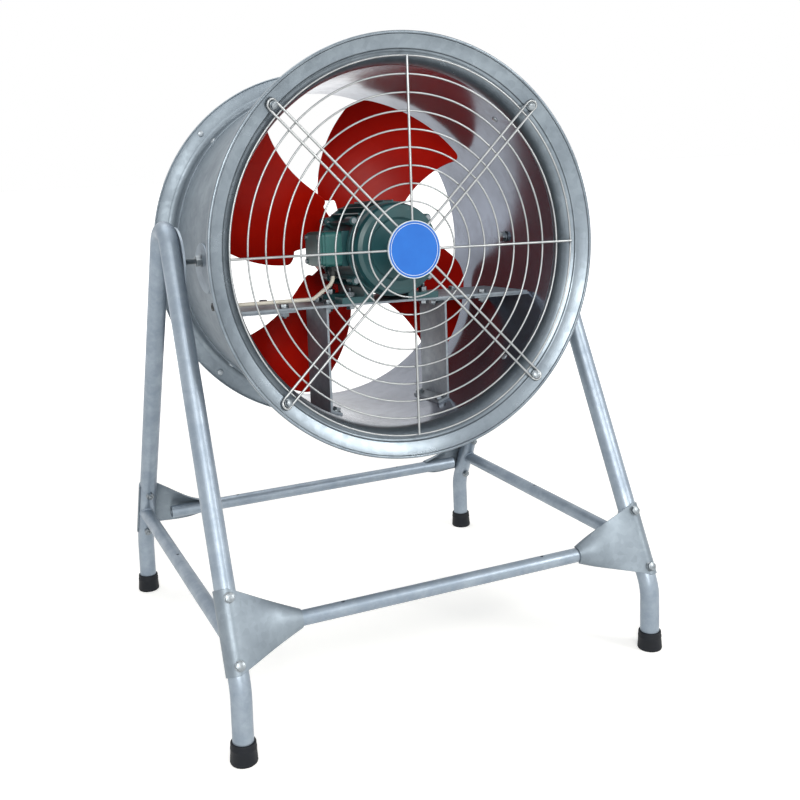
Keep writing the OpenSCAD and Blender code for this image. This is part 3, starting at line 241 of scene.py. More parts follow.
def insideDrum(tree, where, radius, blend):
    # 1 nearer the drum's axis than this radius in millimetres, 0 further out
    tilt = math.radians(drumPlace["tilt"])
    pivot = drumPlace["pivotHeight"] * mm
    along = addNode(tree, "ShaderNodeMapping", {"Vector": where, "Rotation": (tilt, 0, 0),
                    "Location": (0, pivot * math.sin(tilt), -pivot * math.cos(tilt))})
    across = addNode(tree, "ShaderNodeVectorMath", {0: along.outputs[0], 1: (1, 0, 1)},
                     operation="MULTIPLY")
    reach = addNode(tree, "ShaderNodeVectorMath", {0: across.outputs[0]}, operation="LENGTH")
    return addNode(tree, "ShaderNodeMapRange", {"Value": reach.outputs["Value"],
                   "From Min": (radius - blend) * mm, "From Max": (radius + blend) * mm,
                   "To Min": 1.0, "To Max": 0.0}).outputs[0]


def galvanised(name, inside=None, **changes):
    # hot-dip zinc: flat blue-grey crystals that differ a little in tone and in gloss
    look = dict(galvanisedLook, **changes)
    material, tree, shader, where = newMaterial(name, Metallic=look["metal"])
    crystal = addNode(tree, "ShaderNodeTexVoronoi", {"Vector": where,
                      "Scale": perMetre(look["spangle"])})
    tone = addNode(tree, "ShaderNodeSeparateColor", {"Color": crystal.outputs["Color"]})
    cloud = addNode(tree, "ShaderNodeTexNoise", {"Vector": where, "Scale": perMetre(look["cloud"]),
                    "Detail": 5.0, "Roughness": 0.6})
    both = addNode(tree, "ShaderNodeMath", {0: tone.outputs[0], 1: look["crystals"],
                   2: cloud.outputs[0]}, operation="MULTIPLY_ADD")
    level = addNode(tree, "ShaderNodeMapRange", {"Value": both.outputs[0],
                    "From Min": look["toneFrom"],
                    "From Max": look["toneFrom"] + look["toneSpan"] + look["crystals"]})
    colour = addNode(tree, "ShaderNodeMix", {0: level.outputs[0], 6: srgb(look["dark"]),
                     7: srgb(look["light"])}, {2: shader.inputs["Base Color"]}, data_type="RGBA")
    gloss = addNode(tree, "ShaderNodeMapRange", {"Value": level.outputs[0], "To Min": look["dull"],
                    "To Max": look["glossy"]}, {0: shader.inputs["Roughness"]})
    # the drum's inner face: glossier and more metallic, with a darker, purple-tinged tone that is
    # painted shade and painted reflection of the red blades
    if inside:
        near = insideDrum(tree, where, inside["radius"], inside["blend"])
        shadedInside = addNode(tree, "ShaderNodeMix", {0: level.outputs[0], 6: srgb(inside["dark"]),
                        7: srgb(inside["light"])}, data_type="RGBA")
        addNode(tree, "ShaderNodeMix", {0: near, 6: colour.outputs[2], 7: shadedInside.outputs[2]},
                {2: shader.inputs["Base Color"]}, data_type="RGBA")
        polish = addNode(tree, "ShaderNodeMapRange", {"Value": level.outputs[0],
                         "To Min": inside["dull"], "To Max": inside["glossy"]})
        addNode(tree, "ShaderNodeMix", {0: near, 2: gloss.outputs[0], 3: polish.outputs[0]},
                {0: shader.inputs["Roughness"]})
        addNode(tree, "ShaderNodeMapRange", {"Value": near, "To Min": look["metal"],
                "To Max": inside["metal"]}, {0: shader.inputs["Metallic"]})
    grain = addNode(tree, "ShaderNodeTexNoise", {"Vector": where, "Scale": perMetre(look["grain"]),
                    "Detail": 3.0})
    worn = addNode(tree, "ShaderNodeBevel", {"Radius": look["edge"] * mm}, samples=4)
    addNode(tree, "ShaderNodeBump", {"Height": grain.outputs[0],
            "Distance": look["grainDepth"] * mm, "Strength": 0.5, "Normal": worn.outputs[0]},
            {0: shader.inputs["Normal"]})
    return material


def coatedMetal(name, dark, light, glossy, dull, metal, cloud, grain, depth):
    # bright plating, drawn wire or turned steel: a soft cloud of tone, fine marks in the skin;
    # cloud, grain and depth are sizes in millimetres
    material, tree, shader, where = newMaterial(name, Metallic=metal)
    drift = addNode(tree, "ShaderNodeTexNoise", {"Vector": where, "Scale": perMetre(cloud),
                    "Detail": 4.0})
    addNode(tree, "ShaderNodeMix", {0: drift.outputs[0], 6: srgb(dark), 7: srgb(light)},
            {2: shader.inputs["Base Color"]}, data_type="RGBA")
    addNode(tree, "ShaderNodeMapRange", {"Value": drift.outputs[0], "To Min": glossy,
            "To Max": dull}, {0: shader.inputs["Roughness"]})
    skin = addNode(tree, "ShaderNodeTexNoise", {"Vector": where, "Scale": perMetre(grain)})
    addNode(tree, "ShaderNodeBump", {"Height": skin.outputs[0], "Distance": depth * mm,
            "Strength": 0.5}, {0: shader.inputs["Normal"]})
    return material


def surfaceCoat(name, dark, light, glossy, dull, cloud, grain, depth, edge=0.5, **constants):
    # paint, rubber or plastic: tone that drifts, gloss that drifts with it, and a textured skin;
    # cloud, grain, depth and the edge's wear are sizes in millimetres
    material, tree, shader, where = newMaterial(name, **constants)
    drift = addNode(tree, "ShaderNodeTexNoise", {"Vector": where, "Scale": perMetre(cloud),
                    "Detail": 6.0, "Roughness": 0.6})
    addNode(tree, "ShaderNodeMix", {0: drift.outputs[0], 6: srgb(dark), 7: srgb(light)},
            {2: shader.inputs["Base Color"]}, data_type="RGBA")
    addNode(tree, "ShaderNodeMapRange", {"Value": drift.outputs[0], "To Min": glossy,
            "To Max": dull}, {0: shader.inputs["Roughness"]})
    skin = addNode(tree, "ShaderNodeTexNoise", {"Vector": where, "Scale": perMetre(grain),
                   "Detail": 3.0})
    worn = addNode(tree, "ShaderNodeBevel", {"Radius": edge * mm}, samples=4)
    addNode(tree, "ShaderNodeBump", {"Height": skin.outputs[0], "Distance": depth * mm,
            "Strength": 0.6, "Normal": worn.outputs[0]}, {0: shader.inputs["Normal"]})
    return material


# hot-dip zinc: large mild crystals on the rolled and pressed sheet, small ones on the tubes,
# smoother and brighter on the spun front ring, pale on the pivot plates
sheetZinc = galvanised("galvanisedSheet")
tubeZinc = galvanised("galvanisedTube", spangle=6, cloud=40, dark="#8592A0", light="#9DA9B5",
                      crystals=0.08, glossy=0.36, dull=0.46, metal=0.65)
ringZinc = galvanised("galvanisedSpunRing", spangle=11, glossy=0.24, dull=0.34, metal=0.75,
                      dark="#6C767F", light="#8A959E")
# the inner face's darker, purple-tinged tone is painted shade and painted reflection of the red
# blades
wallZinc = galvanised("galvanisedDrumWall", inside=shadedDrumInside, spangle=12)
plateZinc = galvanised("galvanisedMountPlate", spangle=7, dark="#78818A", light="#98A2AA")
pivotZinc = galvanised("galvanisedPivotPlate", dark="#8B98A5", light="#A6B2BD", metal=0.5)
# electroplated screws and nuts: bright, with faint turning marks
zinc = coatedMetal("brightZincPlate", "#70777D", "#9AA1A6", glossy=0.30, dull=0.46, metal=1.0,
                   cloud=4, grain=0.5, depth=0.01)
# drawn grille wire with bright plating
wire = coatedMetal("platedWire", "#878C90", "#B4B7B8", glossy=0.28, dull=0.42, metal=0.8,
                   cloud=25, grain=0.8, depth=0.01)
# the same plating gone pale and dull on rivets that were set by hammer
dullZinc = coatedMetal("dullZincPlate", "#9BA3AA", "#B4BCC3", glossy=0.36, dull=0.48, metal=0.6,
                       cloud=5, grain=0.6, depth=0.02)
# turned shaft and bearing steel
steel = coatedMetal("machinedSteel", "#6A7076", "#949A9F", glossy=0.25, dull=0.45, metal=1.0,
                    cloud=3, grain=0.6, depth=0.01)
# stoved enamel on sheet: deep, even red with a soft gloss over a little orange peel
red = surfaceCoat("glossRedEnamel", "#8C0603", "#C01805", glossy=0.28, dull=0.38, cloud=90,
                  grain=2.5, depth=0.04, Specular_IOR_Level=0.08, Coat_Weight=0.04,
                  Coat_Roughness=0.12)
# sprayed machine paint over a sand casting: satin and gritty
green = surfaceCoat("greenMachinePaint", "#0F373B", "#1D545A", glossy=0.32, dull=0.55, cloud=35,
                    grain=1.6, depth=0.12, edge=0.8, Coat_Weight=0.2, Coat_Roughness=0.25)
# the terminal box's copy of the same paint is lighter: painted light on the box
litBoxGreen = surfaceCoat("litGreenBoxPaint", "#16494A", "#286E6C", glossy=0.32, dull=0.50, cloud=35,
                       grain=1.6, depth=0.10, edge=0.8, Coat_Weight=0.2, Coat_Roughness=0.25)
# moulded rubber boot: matt with a dusty bloom
rubber = surfaceCoat("mouldedRubber", "#05080E", "#10161F", glossy=0.50, dull=0.75, cloud=18,
                     grain=0.9, depth=0.05, Specular_IOR_Level=0.3)
# glossy moulded disc and its printed pale ring
blue = surfaceCoat("blueGlossPlastic", "#0F5CB8", "#176CC8", glossy=0.26, dull=0.34, cloud=30,
                   grain=1.5, depth=0.01)
pale = surfaceCoat("paleBadgeRing", "#C9D6E2", "#E4ECF2", glossy=0.32, dull=0.40, cloud=12,
                   grain=1.5, depth=0.01)
# moulded nylon gland
nylon = surfaceCoat("blackNylon", "#15181A", "#2A2E31", glossy=0.38, dull=0.55, cloud=8,
                    grain=1.2, depth=0.04)
# pale cable sheath with a soft sheen
sheath = surfaceCoat("pvcSheath", "#C6C2B6", "#E2DED2", glossy=0.38, dull=0.46, cloud=20,
                     grain=6.0, depth=0.05)

# enamelled winding wire under clear varnish: rings of turns, about 6 mm apart to show at all
copperLook = {"dark": "#7A3D18", "light": "#B8703A", "turns": 6, "depth": 0.2}


def varnishedCopper():
    material, tree, shader, where = newMaterial("varnishedCopper", Metallic=0.7, Roughness=0.35)
    turns = addNode(tree, "ShaderNodeTexWave", {"Vector": where,
                    "Scale": perMetre(copperLook["turns"]), "Distortion": 3.0, "Detail": 2.0},
                    wave_type="RINGS")
    addNode(tree, "ShaderNodeMix", {0: turns.outputs["Fac"], 6: srgb(copperLook["dark"]),
            7: srgb(copperLook["light"])}, {2: shader.inputs["Base Color"]}, data_type="RGBA")
    addNode(tree, "ShaderNodeBump", {"Height": turns.outputs["Fac"],
            "Distance": copperLook["depth"] * mm, "Strength": 0.6}, {0: shader.inputs["Normal"]})
    return material


copper = varnishedCopper()
print("materials made")

cadFinish = {
    tubeZinc: ["left_side_frame", "right_side_frame", "left_side_rail", "right_side_rail",
               "front_cross_tube", "rear_cross_tube"],
    wallZinc: ["drum_shell"],
    sheetZinc: ["front_bell_ring", "rear_flange_ring", "front_left_gusset",
                "front_right_gusset", "rear_left_gusset", "rear_right_gusset"],
    pivotZinc: ["left_pivot_plate", "right_pivot_plate", "left_pivot_pad", "right_pivot_pad"],
    plateZinc: ["motor_plate", "left_wall_bracket", "right_wall_bracket", "left_upright",
                "right_upright"],
    zinc: ["gusset_bolts", "ring_rivets", "left_pivot_bolt", "right_pivot_bolt", "pivot_nuts",
           "grille_bolts", "mount_bolts", "shield_screws", "lid_screws", "motor_foot_bolts",
           "hub_bolt"],
    wire: ["front_grille"],
    blue: ["badge"],
    green: ["motor_housing", "motor_front_shield", "motor_rear_shield"],
    litBoxGreen: ["terminal_box", "terminal_box_lid"],
    rubber: ["front_left_foot", "front_right_foot", "rear_left_foot", "rear_right_foot"],
    nylon: ["cable_gland", "wall_gland"],
    sheath: ["motor_lead"],
    steel: ["stator_core", "bearing_outer_rings", "bearing_inner_rings", "motor_shaft",
            "rotor_core", "hub_key"],
    copper: ["stator_windings"],
    red: ["impeller_hub", "blade_1", "blade_2", "blade_3", "blade_4"],
}
for finish, names in cadFinish.items():
    for name in names:
        cad[name].data.materials.clear()
        cad[name].data.materials.append(finish)
print("carried-over nodes dressed")


# where the stand's and the drum's parts sit

seatGap = 0.1  # room between pieces that seat on each other
stand = {"footX": 379.5, "footY": 345, "top": 793, "leg": 33, "lean": 1.1, "kneeHeight": 115,
         "apexRadius": 40, "rail": 25, "railHeight": 183, "crossHeight": 180,
         "crossSetback": 22.5, "railOut": 3}
apexCentre = stand["top"] - stand["leg"] / 2 - stand["apexRadius"]
legRise = apexCentre - stand["kneeHeight"]
legSpan = math.hypot(stand["footY"], legRise)
legAngle = math.degrees(math.acos(stand["apexRadius"] / legSpan)
                        - math.atan2(legRise, stand["footY"]))
legSin, legCos = math.sin(math.radians(legAngle)), math.cos(math.radians(legAngle))
apexPoint = apexCentre + stand["apexRadius"] / legSin


def legY(height):
    return (apexPoint - height) * legSin / legCos


def corner(side, end):
    return flip(x=-1 if side > 0 else 1) @ flip(y=-1 if end > 0 else 1)


def sideFrame(side, end):
    # the leaning plane of a side frame, at one corner: side -1 is left, end -1 is front
    return corner(side, end) @ move(x=-stand["footX"]) @ turn(stand["lean"], "Y")


def legFrame(side, end, height):
    return sideFrame(side, end) @ move(y=-legY(height), z=height) @ turn(-legAngle, "X")


sideNames, endNames = {-1: "left", 1: "right"}, {-1: "front", 1: "rear"}
legs = [(side, end) for side in sideNames for end in endNames]

drumFrame = move(z=drumPlace["pivotHeight"]) @ turn(-drumPlace["tilt"], "X")
mountFrame = drumFrame @ turn(drumPlace["mountTurn"], "Y")
alongDrum = turn(-90, "X")  # local Z runs back along the drum

# gussets: pressed sheet that wraps the leg, slopes to the cross tube and hugs it

gusset = {"middle": 192, "length": 128, "reach": 117, "sheet": 2.5, "wrap": 100, "bend": 0.66,
          "hug": 88, "blend": 22, "rows": 24, "wrapSteps": 10, "slopeSteps": 24, "edge": 0.5}


def gussetShape():
    height, reach, rows = gusset["middle"], gusset["reach"], gusset["rows"]
    sleeve = stand["leg"] / 2 + seatGap + gusset["sheet"] / 2
    crossY = legY(stand["crossHeight"]) - stand["crossSetback"]
    dy, dz = legY(height) - crossY, height - stand["crossHeight"]
    tubeIn, tubeUp = dy * legCos + dz * legSin, dy * legSin - dz * legCos
    leanSin = math.sin(math.radians(stand["lean"]))
    bendX = gusset["bend"] * reach
    hugRadius = stand["rail"] / 2 + seatGap + gusset["sheet"] / 2
    wingY = tubeIn - reach * leanSin * legSin - hugRadius
    slope = math.asin(sleeve / math.hypot(bendX, wingY)) + math.atan2(wingY, bendX)
    start = -math.pi / 2 - math.radians(gusset["wrap"])
    # x, y, and how far the sheet hugs the tube there
    across = [(sleeve * math.cos(a), sleeve * math.sin(a), 0.0)
              for a in arc(start, -math.pi / 2 + slope, gusset["wrapSteps"])]
    leaveX, leaveY = across[-1][:2]
    fall, blend = (wingY - leaveY) / (bendX - leaveX), gusset["blend"]
    for x in arc(leaveX, reach, gusset["slopeSteps"])[1:]:
        # down the slope, then along the tube, with a soft bend between the two
        over = min(max(x - bendX + blend, 0), 2 * blend)
        run = x - over ** 2 / (4 * blend) - max(x - bendX - blend, 0)
        across.append((x, leaveY + fall * (run - leaveX), smooth((x - leaveX) / (reach - leaveX))))
    verts, faces = [], []
    narrow = tubeUp + reach * leanSin * legCos
    for x, y, hug in across:
        share = max(0, x) / reach
        low = -gusset["length"] / 2 * (1 - share) + (narrow - hugRadius) * share
        high = gusset["length"] / 2 * (1 - share) + (narrow + hugRadius) * share
        middle = (low + high) / 2
        for r in range(rows + 1):
            v = 2 * r / rows - 1
            angle = math.radians(gusset["hug"]) * v
            # the edges run straight to the tube, the middle folds round it
            place = v + (math.sin(angle) - v) * hug
            verts.append(Vector((x, y + hug * hugRadius * (1 - math.cos(angle)),
                                 middle + place * (high - low) / 2)))
    for c in range(len(across) - 1):
        for r in range(rows):
            a = c * (rows + 1) + r
            faces.append((a, a + 1, a + rows + 2, a + rows + 1))
    return verts, faces


for side, end in legs:
    plate = Parts().add(gussetShape(), legFrame(side, end, gusset["middle"]))
    makePiece(f"{endNames[end]}{sideNames[side].title()}Gusset", plate, "stand", sheetZinc,
              [f"{endNames[end]}_{sideNames[side]}_gusset"],
              thickness=gusset["sheet"], bevel=gusset["edge"], sharpAngle=50)
print("gussets made")

# weld beads where a side rail meets its two legs: a lumpy ring along the line where they cross

weld = {"bead": 1.7, "ripple": 0.45, "ripples": 26, "points": 156, "sides": 12}


def railWeld(side, end):
    railY, railRadius = legY(stand["railHeight"]), stand["rail"] / 2
    sidePlane = sideFrame(side, end)
    toLeg = legFrame(side, end, stand["railHeight"]).inverted() @ sidePlane
    path = []
    for a in arc(0, 2 * math.pi, weld["points"])[:-1]:
        start = Vector((-stand["railOut"] + railRadius * math.cos(a), 0,
                        stand["railHeight"] + railRadius * math.sin(a)))
        here, there = toLeg @ start, toLeg @ (start + Vector((0, -railY, 0)))
        way = there - here
        # where this line along the rail reaches the leg's skin, seen along the leg
        square = way.x ** 2 + way.y ** 2
        double = 2 * (here.x * way.x + here.y * way.y)
        rest = here.x ** 2 + here.y ** 2 - (stand["leg"] / 2) ** 2
        t = (-double - math.sqrt(max(0, double * double - 4 * square * rest))) / (2 * square)
        path.append(sidePlane @ (start + Vector((0, -railY * t, 0))))
    middle = sum(path, Vector()) / len(path)
    verts, faces, ring = [], [], weld["sides"]
    for k, p in enumerate(path):
        along = (path[(k + 1) % len(path)] - path[k - 1]).normalized()
        out = (p - middle).normalized()
        up = along.cross(out)
        wave = math.sin(2 * math.pi * weld["ripples"] * k / len(path))
        bead = weld["bead"] + weld["ripple"] * wave
        verts += [p + bead * (math.cos(b) * out + math.sin(b) * up)
                  for b in arc(0, 2 * math.pi, ring)[:-1]]
    for k in range(len(path)):
        a, b = k * ring, (k + 1) % len(path) * ring
        faces += [(a + r, b + r, b + (r + 1) % ring, a + (r + 1) % ring) for r in range(ring)]
    return verts, faces


welds = Parts()
for side, end in legs:
    welds.add(railWeld(side, end))
makePiece("railWelds", welds, "stand", tubeZinc, [], sharpAngle=60)
print("welds made")

# rubber boots with a rolled top edge and a rib, cut flat at the floor; the rib's points are steps
# out from the top radius and down from its upper edge, the sole's are steps in from the base
# radius and heights above the floor

boot = {"height": 34, "topRadius": 19.75, "baseRadius": 21.38, "bore": 16.6, "floor": 7,
        "edge": 2.0, "edgeSteps": 6, "rib": 8, "below": -2, "sides": 64,
        "ribSteps": ((0.2, 0), (0.7, 1), (0.7, 3), (0.35, 4)),
        "soleSteps": ((0.1, 4.5), (0, 2.5), (0.4, 1.0), (1.2, -2))}


def bootShape():
    top, height, e = boot["topRadius"], boot["height"], boot["edge"]
    profile = [(0, boot["floor"]), (boot["bore"], boot["floor"]), (boot["bore"], height)]
    profile += [(top - e + e * math.sin(a), height - e + e * math.cos(a))
                for a in arc(0, math.pi / 2, boot["edgeSteps"])]
    profile += [(top + out, height - boot["rib"] - down) for out, down in boot["ribSteps"]]
    profile += [(boot["baseRadius"] - cut, rise) for cut, rise in boot["soleSteps"]]
    return lathe(profile + [(0, boot["below"])], boot["sides"], closed=False)


for side, end in legs:
    foot = Parts().add(bootShape(), sideFrame(side, end) @ move(y=-stand["footY"]))
    for v in foot.verts:
        v.z = max(0.0, v.z)
    makePiece(f"{endNames[end]}{sideNames[side].title()}Boot", foot, "stand", rubber,
              [f"{endNames[end]}_{sideNames[side]}_foot"], sharpAngle=40)
print("boots made")

# fasteners: hexagon heads with turned chamfers, washers, threaded ends. Stock proportions: flats,
# head, nut, washer, chamfer and pitch as shares of the thread's size, the rest in millimetres

fastener = {"flats": 1.6, "flatsMore": 1, "head": 0.65, "nut": 0.8, "washer": 0.2,
            "washerEdge": 0.3, "washerSides": 40, "chamfer": 0.09, "pitch": 0.15, "play": 0.01,
            "bite": 0.05, "plainShort": 2, "nutTurn": 11}


def washerFor(size, low, high, width=None):
    outer, inner = (width or 2 * size + 1) / 2, size / 2 + seatGap
    e = min(fastener["washerEdge"], (high - low) / 3)
    return lathe([(inner, low), (outer - e, low), (outer, low + e), (outer, high - e),
                  (outer - e, high), (inner, high)], fastener["washerSides"])


def hexHead(size):
    return hexBlock(fastener["flats"] * size + fastener["flatsMore"], 0, fastener["head"] * size,
                    fastener["chamfer"] * size)


def hexNut(size, low, twist):
    nut = hexBlock(fastener["flats"] * size + fastener["flatsMore"], low,
                   low + fastener["nut"] * size, fastener["chamfer"] * size,
                   size / 2 - fastener["bite"])
    return Parts().add(nut, turn(twist, "Z"))


def boltStack(size, grip, tip, washer=None, underNut=False, twist=0.0):
    # the head sits on the plane z = 0 and the shank runs along +Z through the grip
    thin, play = fastener["washer"] * size, fastener["play"]
    stack = Parts().add(washerFor(size, -thin, -play, washer))
    stack.add(hexHead(size), move(z=-thin) @ flip(z=-1) @ turn(twist, "Z"))
    stack.add(threadedRod(size / 2, -thin, grip + fastener["nut"] * size + tip,
                          grip - fastener["plainShort"], fastener["pitch"] * size))
    if underNut:
        stack.add(washerFor(size, grip + play, grip + thin))
    return stack.add(hexNut(size, grip + (thin if underNut else 0), twist + fastener["nutTurn"]))


# the turns keep any two heads from sitting alike
gussetBolt = {"size": 8, "pitch": 100, "tip": 3.0, "rowTurn": 17, "sideTurn": 9, "endTurn": 5}
bolts = Parts()
sleeveOut = stand["leg"] / 2 + seatGap + gusset["sheet"]
for side, end in legs:
    for row in (-1, 1):
        twist = (gussetBolt["rowTurn"] * row + gussetBolt["sideTurn"] * side
                 + gussetBolt["endTurn"] * end)
        one = boltStack(gussetBolt["size"], gusset["sheet"] + stand["leg"] + seatGap,
                        gussetBolt["tip"], twist=twist)
        bolts.add(one, legFrame(side, end, gusset["middle"])
                  @ move(y=-sleeveOut, z=row * gussetBolt["pitch"] / 2) @ turn(-90, "X"))
makePiece("gussetBoltSet", bolts, "stand", zinc, ["gusset_bolts"])
print("gusset bolts made")

# impeller blades: cambered sheet, the outline given by two edge angles against radius; a corner is
# its share of the width and how much it cuts off the radius

blade = {"tip": 290, "hub": 62, "root": 90, "front": 60, "depth": 86, "sheet": 2.5, "camber": 9,
         "neckFrom": 0.16, "neckTo": 0.72, "neckBlend": 0.09, "columns": 100, "rows": 48,
         "lead": 36.4, "curl": 45, "curlRadius": 190, "sweep": 19, "sweepRadius": 194.9,
         "trail": 105.4, "trailLean": 0.15, "trailRadius": 105, "leadCorner": (0.08, 16),
         "trailCorner": (0.12, 20), "rootCorner": (0.16, 14), "edge": 0.8, "count": 4}


def cornerCut(v, share, size):
    return 0 if v >= share else size * (1 - math.sqrt(max(0, 1 - (1 - v / share) ** 2)))


def bladeOuter(v):
    cut = cornerCut(v, *blade["leadCorner"]) + cornerCut(1 - v, *blade["trailCorner"])
    return blade["tip"] - cut


def bladeInner(v):
    wide = (smooth((blade["neckFrom"] - v) / blade["neckBlend"])
            + smooth((v - blade["neckTo"]) / blade["neckBlend"]))
    rounding = cornerCut(v, *blade["rootCorner"]) + cornerCut(1 - v, *blade["rootCorner"])
    return blade["hub"] + seatGap + (blade["root"] - blade["hub"]) * min(1, wide) + rounding


def bladeShape():
    verts, faces = [], []
    cols, rows = blade["columns"], blade["rows"]
    for i in range(rows + 1):
        for j in range(cols + 1):
            v = j / cols
            r = bladeInner(v) + (bladeOuter(v) - bladeInner(v)) * i / rows
            front = (blade["lead"] - blade["curl"] * max(0, 1 - r / blade["curlRadius"]) ** 2
                     - blade["sweep"] * max(0, r / blade["sweepRadius"] - 1) ** 2)
            rear = blade["trail"] - blade["trailLean"] * (r - blade["trailRadius"])
            a = math.radians(front + v * (rear - front))
            y = (blade["front"] + blade["sheet"] + v * (blade["depth"] - 2 * blade["sheet"])
                 - blade["camber"] * 4 * v * (1 - v) * r / blade["tip"])
            verts.append((r * math.cos(a), y, r * math.sin(a)))
    for i in range(rows):
        for j in range(cols):
            a = i * (cols + 1) + j
            faces.append((a, a + 1, a + cols + 2, a + cols + 1))
    return verts, faces


for number in range(blade["count"]):
    vane = Parts().add(bladeShape(), drumFrame @ turn(-360 / blade["count"] * number, "Y"))
    makePiece(f"impellerBlade{number + 1}", vane, "impeller", red, [f"blade_{number + 1}"],
              thickness=blade["sheet"], bevel=blade["edge"], sharpAngle=50)
print("blades made")

# the two end rings: spun sheet, the front one with a bell curve, a small step and a rolled bead;
# rounded corners are given as (across, along) steps

bell = {"radius": 37, "sweep": 64, "sweepSteps": 24, "front": -212, "lip": 348, "lipWidth": 9,
        "lipRound": 0.6, "lipInner": (0.3, 0.4), "bead": 2.6, "beadTurn": 205, "beadSteps": 12,
        "sheet": 2, "step": (0.5, 2), "stepFace": ((-0.1, 1.4), (0.1, 0.5)), "dish": 0.7,
        "dishFrom": 0.6, "dishShort": 1.0, "dishSteps": 12, "recess": 0.5, "sleeve": 52,
        "sleeveRound": 0.5, "sleeveGap": 0.05, "backStep": (1, 0.6), "sides": 240}
rearRing = {"face": 216, "outer": 340.5, "bend": 12, "bendSteps": 12, "lipWidth": 7,
            "lipRound": 0.3, "sleeve": 26, "sleeveRound": 0.5, "bead": 2.0, "beadSteps": 8,
            "step": 0.5, "stepFrom": 0.5, "stepTo": 1.1, "stepEnd": (1, 0.5)}
coneSlope = math.tan(math.radians(90 - bell["sweep"]))
sweepEnd = math.radians(bell["sweep"])
bellEnd = drumPlace["throat"] + bell["radius"] * (1 - math.cos(sweepEnd))
coneStart = bellEnd + bell["step"][0]
coneY = bell["front"] + (bell["lip"] - coneStart) * coneSlope
bellY = coneY + bell["step"][1] + bell["radius"] * math.sin(sweepEnd)
wallOut = drumPlace["throat"] + drumPlace["sheet"]


def flangeY(radius):
    return coneY - (radius - coneStart) * coneSlope


def bellProfile():
    throat, t, r, out = drumPlace["throat"], bell["sheet"], bell["radius"], bell["lip"]
    sweep = arc(0, sweepEnd, bell["sweepSteps"])
    inner = [(throat + r - r * math.cos(a), bellY - r * math.sin(a)) for a in sweep]
    outer = [(throat + r - (r - t) * math.cos(a), bellY - (r - t) * math.sin(a)) for a in sweep]
    e = bell["bead"]
    rim, crown = out - e, bell["front"] + t * coneSlope + e
    inner += [(coneStart + x, coneY + y) for x, y in bell["stepFace"]]
    span = rim - e - coneStart
    for u in arc(0, 1, bell["dishSteps"]):
        x = coneStart + bell["dishFrom"] + (span - bell["dishShort"]) * u
        inner.append((x, flangeY(x) + bell["dish"] * 4 * u * (1 - u) + bell["recess"] * u))
    inner += [(rim + e * math.cos(a), crown - e * math.sin(a))
              for a in arc(math.radians(bell["beadTurn"]), 0, bell["beadSteps"])]
    lipEnd = bell["front"] + bell["lipWidth"]
    lipAcross, lipAlong = bell["lipInner"]
    backX = coneStart + bell["backStep"][0]
    back = [(out, lipEnd - bell["lipRound"]), (out - bell["lipRound"], lipEnd),
            (out - t + lipAcross, lipEnd), (out - t, lipEnd - lipAlong),
            (out - t, flangeY(out - t) + 2 * t), (backX, flangeY(backX) + t + bell["backStep"][1])]
    sleeveEnd, e = bellY + bell["sleeve"], bell["sleeveRound"]
    sleeve = [(wallOut + t, bellY), (wallOut + t, sleeveEnd - e), (wallOut + t - e, sleeveEnd),
              (wallOut + bell["sleeveGap"], sleeveEnd), (wallOut + bell["sleeveGap"], bellY)]
    return inner + back + outer[::-1][1:-1] + sleeve


def rearProfile():
    t, b, face, out = bell["sheet"], rearRing["bend"], rearRing["face"], rearRing["outer"]
    seat = wallOut + bell["sleeveGap"]
    bendY, bendX = face - t - b, seat + t + b
    start, e = bendY - rearRing["sleeve"], rearRing["sleeveRound"]
    bend = arc(0, math.pi / 2, rearRing["bendSteps"])
    front = [(seat, start), (seat + t - e, start), (seat + t, start + e)]
    front += [(bendX - b * math.cos(a), bendY + b * math.sin(a)) for a in bend]
    behind = [(bendX - (b + t) * math.cos(a), bendY + (b + t) * math.sin(a)) for a in bend]
    step, (endIn, endBack) = face - t + rearRing["step"], rearRing["stepEnd"]
    front += [(bendX + rearRing["stepFrom"], face - t), (bendX + rearRing["stepTo"], step),
              (out - t - endIn, step), (out - t, face - t - endBack)]
    lipEnd, e = face - rearRing["lipWidth"], rearRing["lipRound"]
    front += [(out - t, lipEnd + e), (out - t + e, lipEnd), (out - e, lipEnd), (out, lipEnd + e)]
    e = rearRing["bead"]
    front += [(out - e + e * math.cos(a), face - e + e * math.sin(a))
              for a in arc(0, math.pi / 2, rearRing["beadSteps"])]
    return front + behind[::-1]


makePiece("bellRing", Parts().add(lathe(bellProfile(), bell["sides"]), drumFrame @ alongDrum),
          "drum", ringZinc, ["front_bell_ring"], sharpAngle=42)
makePiece("outletRing", Parts().add(lathe(rearProfile(), bell["sides"]), drumFrame @ alongDrum),
          "drum", sheetZinc, ["rear_flange_ring"], sharpAngle=42)
print("drum rings made")

# fasteners of the drum: pivots, grille, mount, motor and rivets

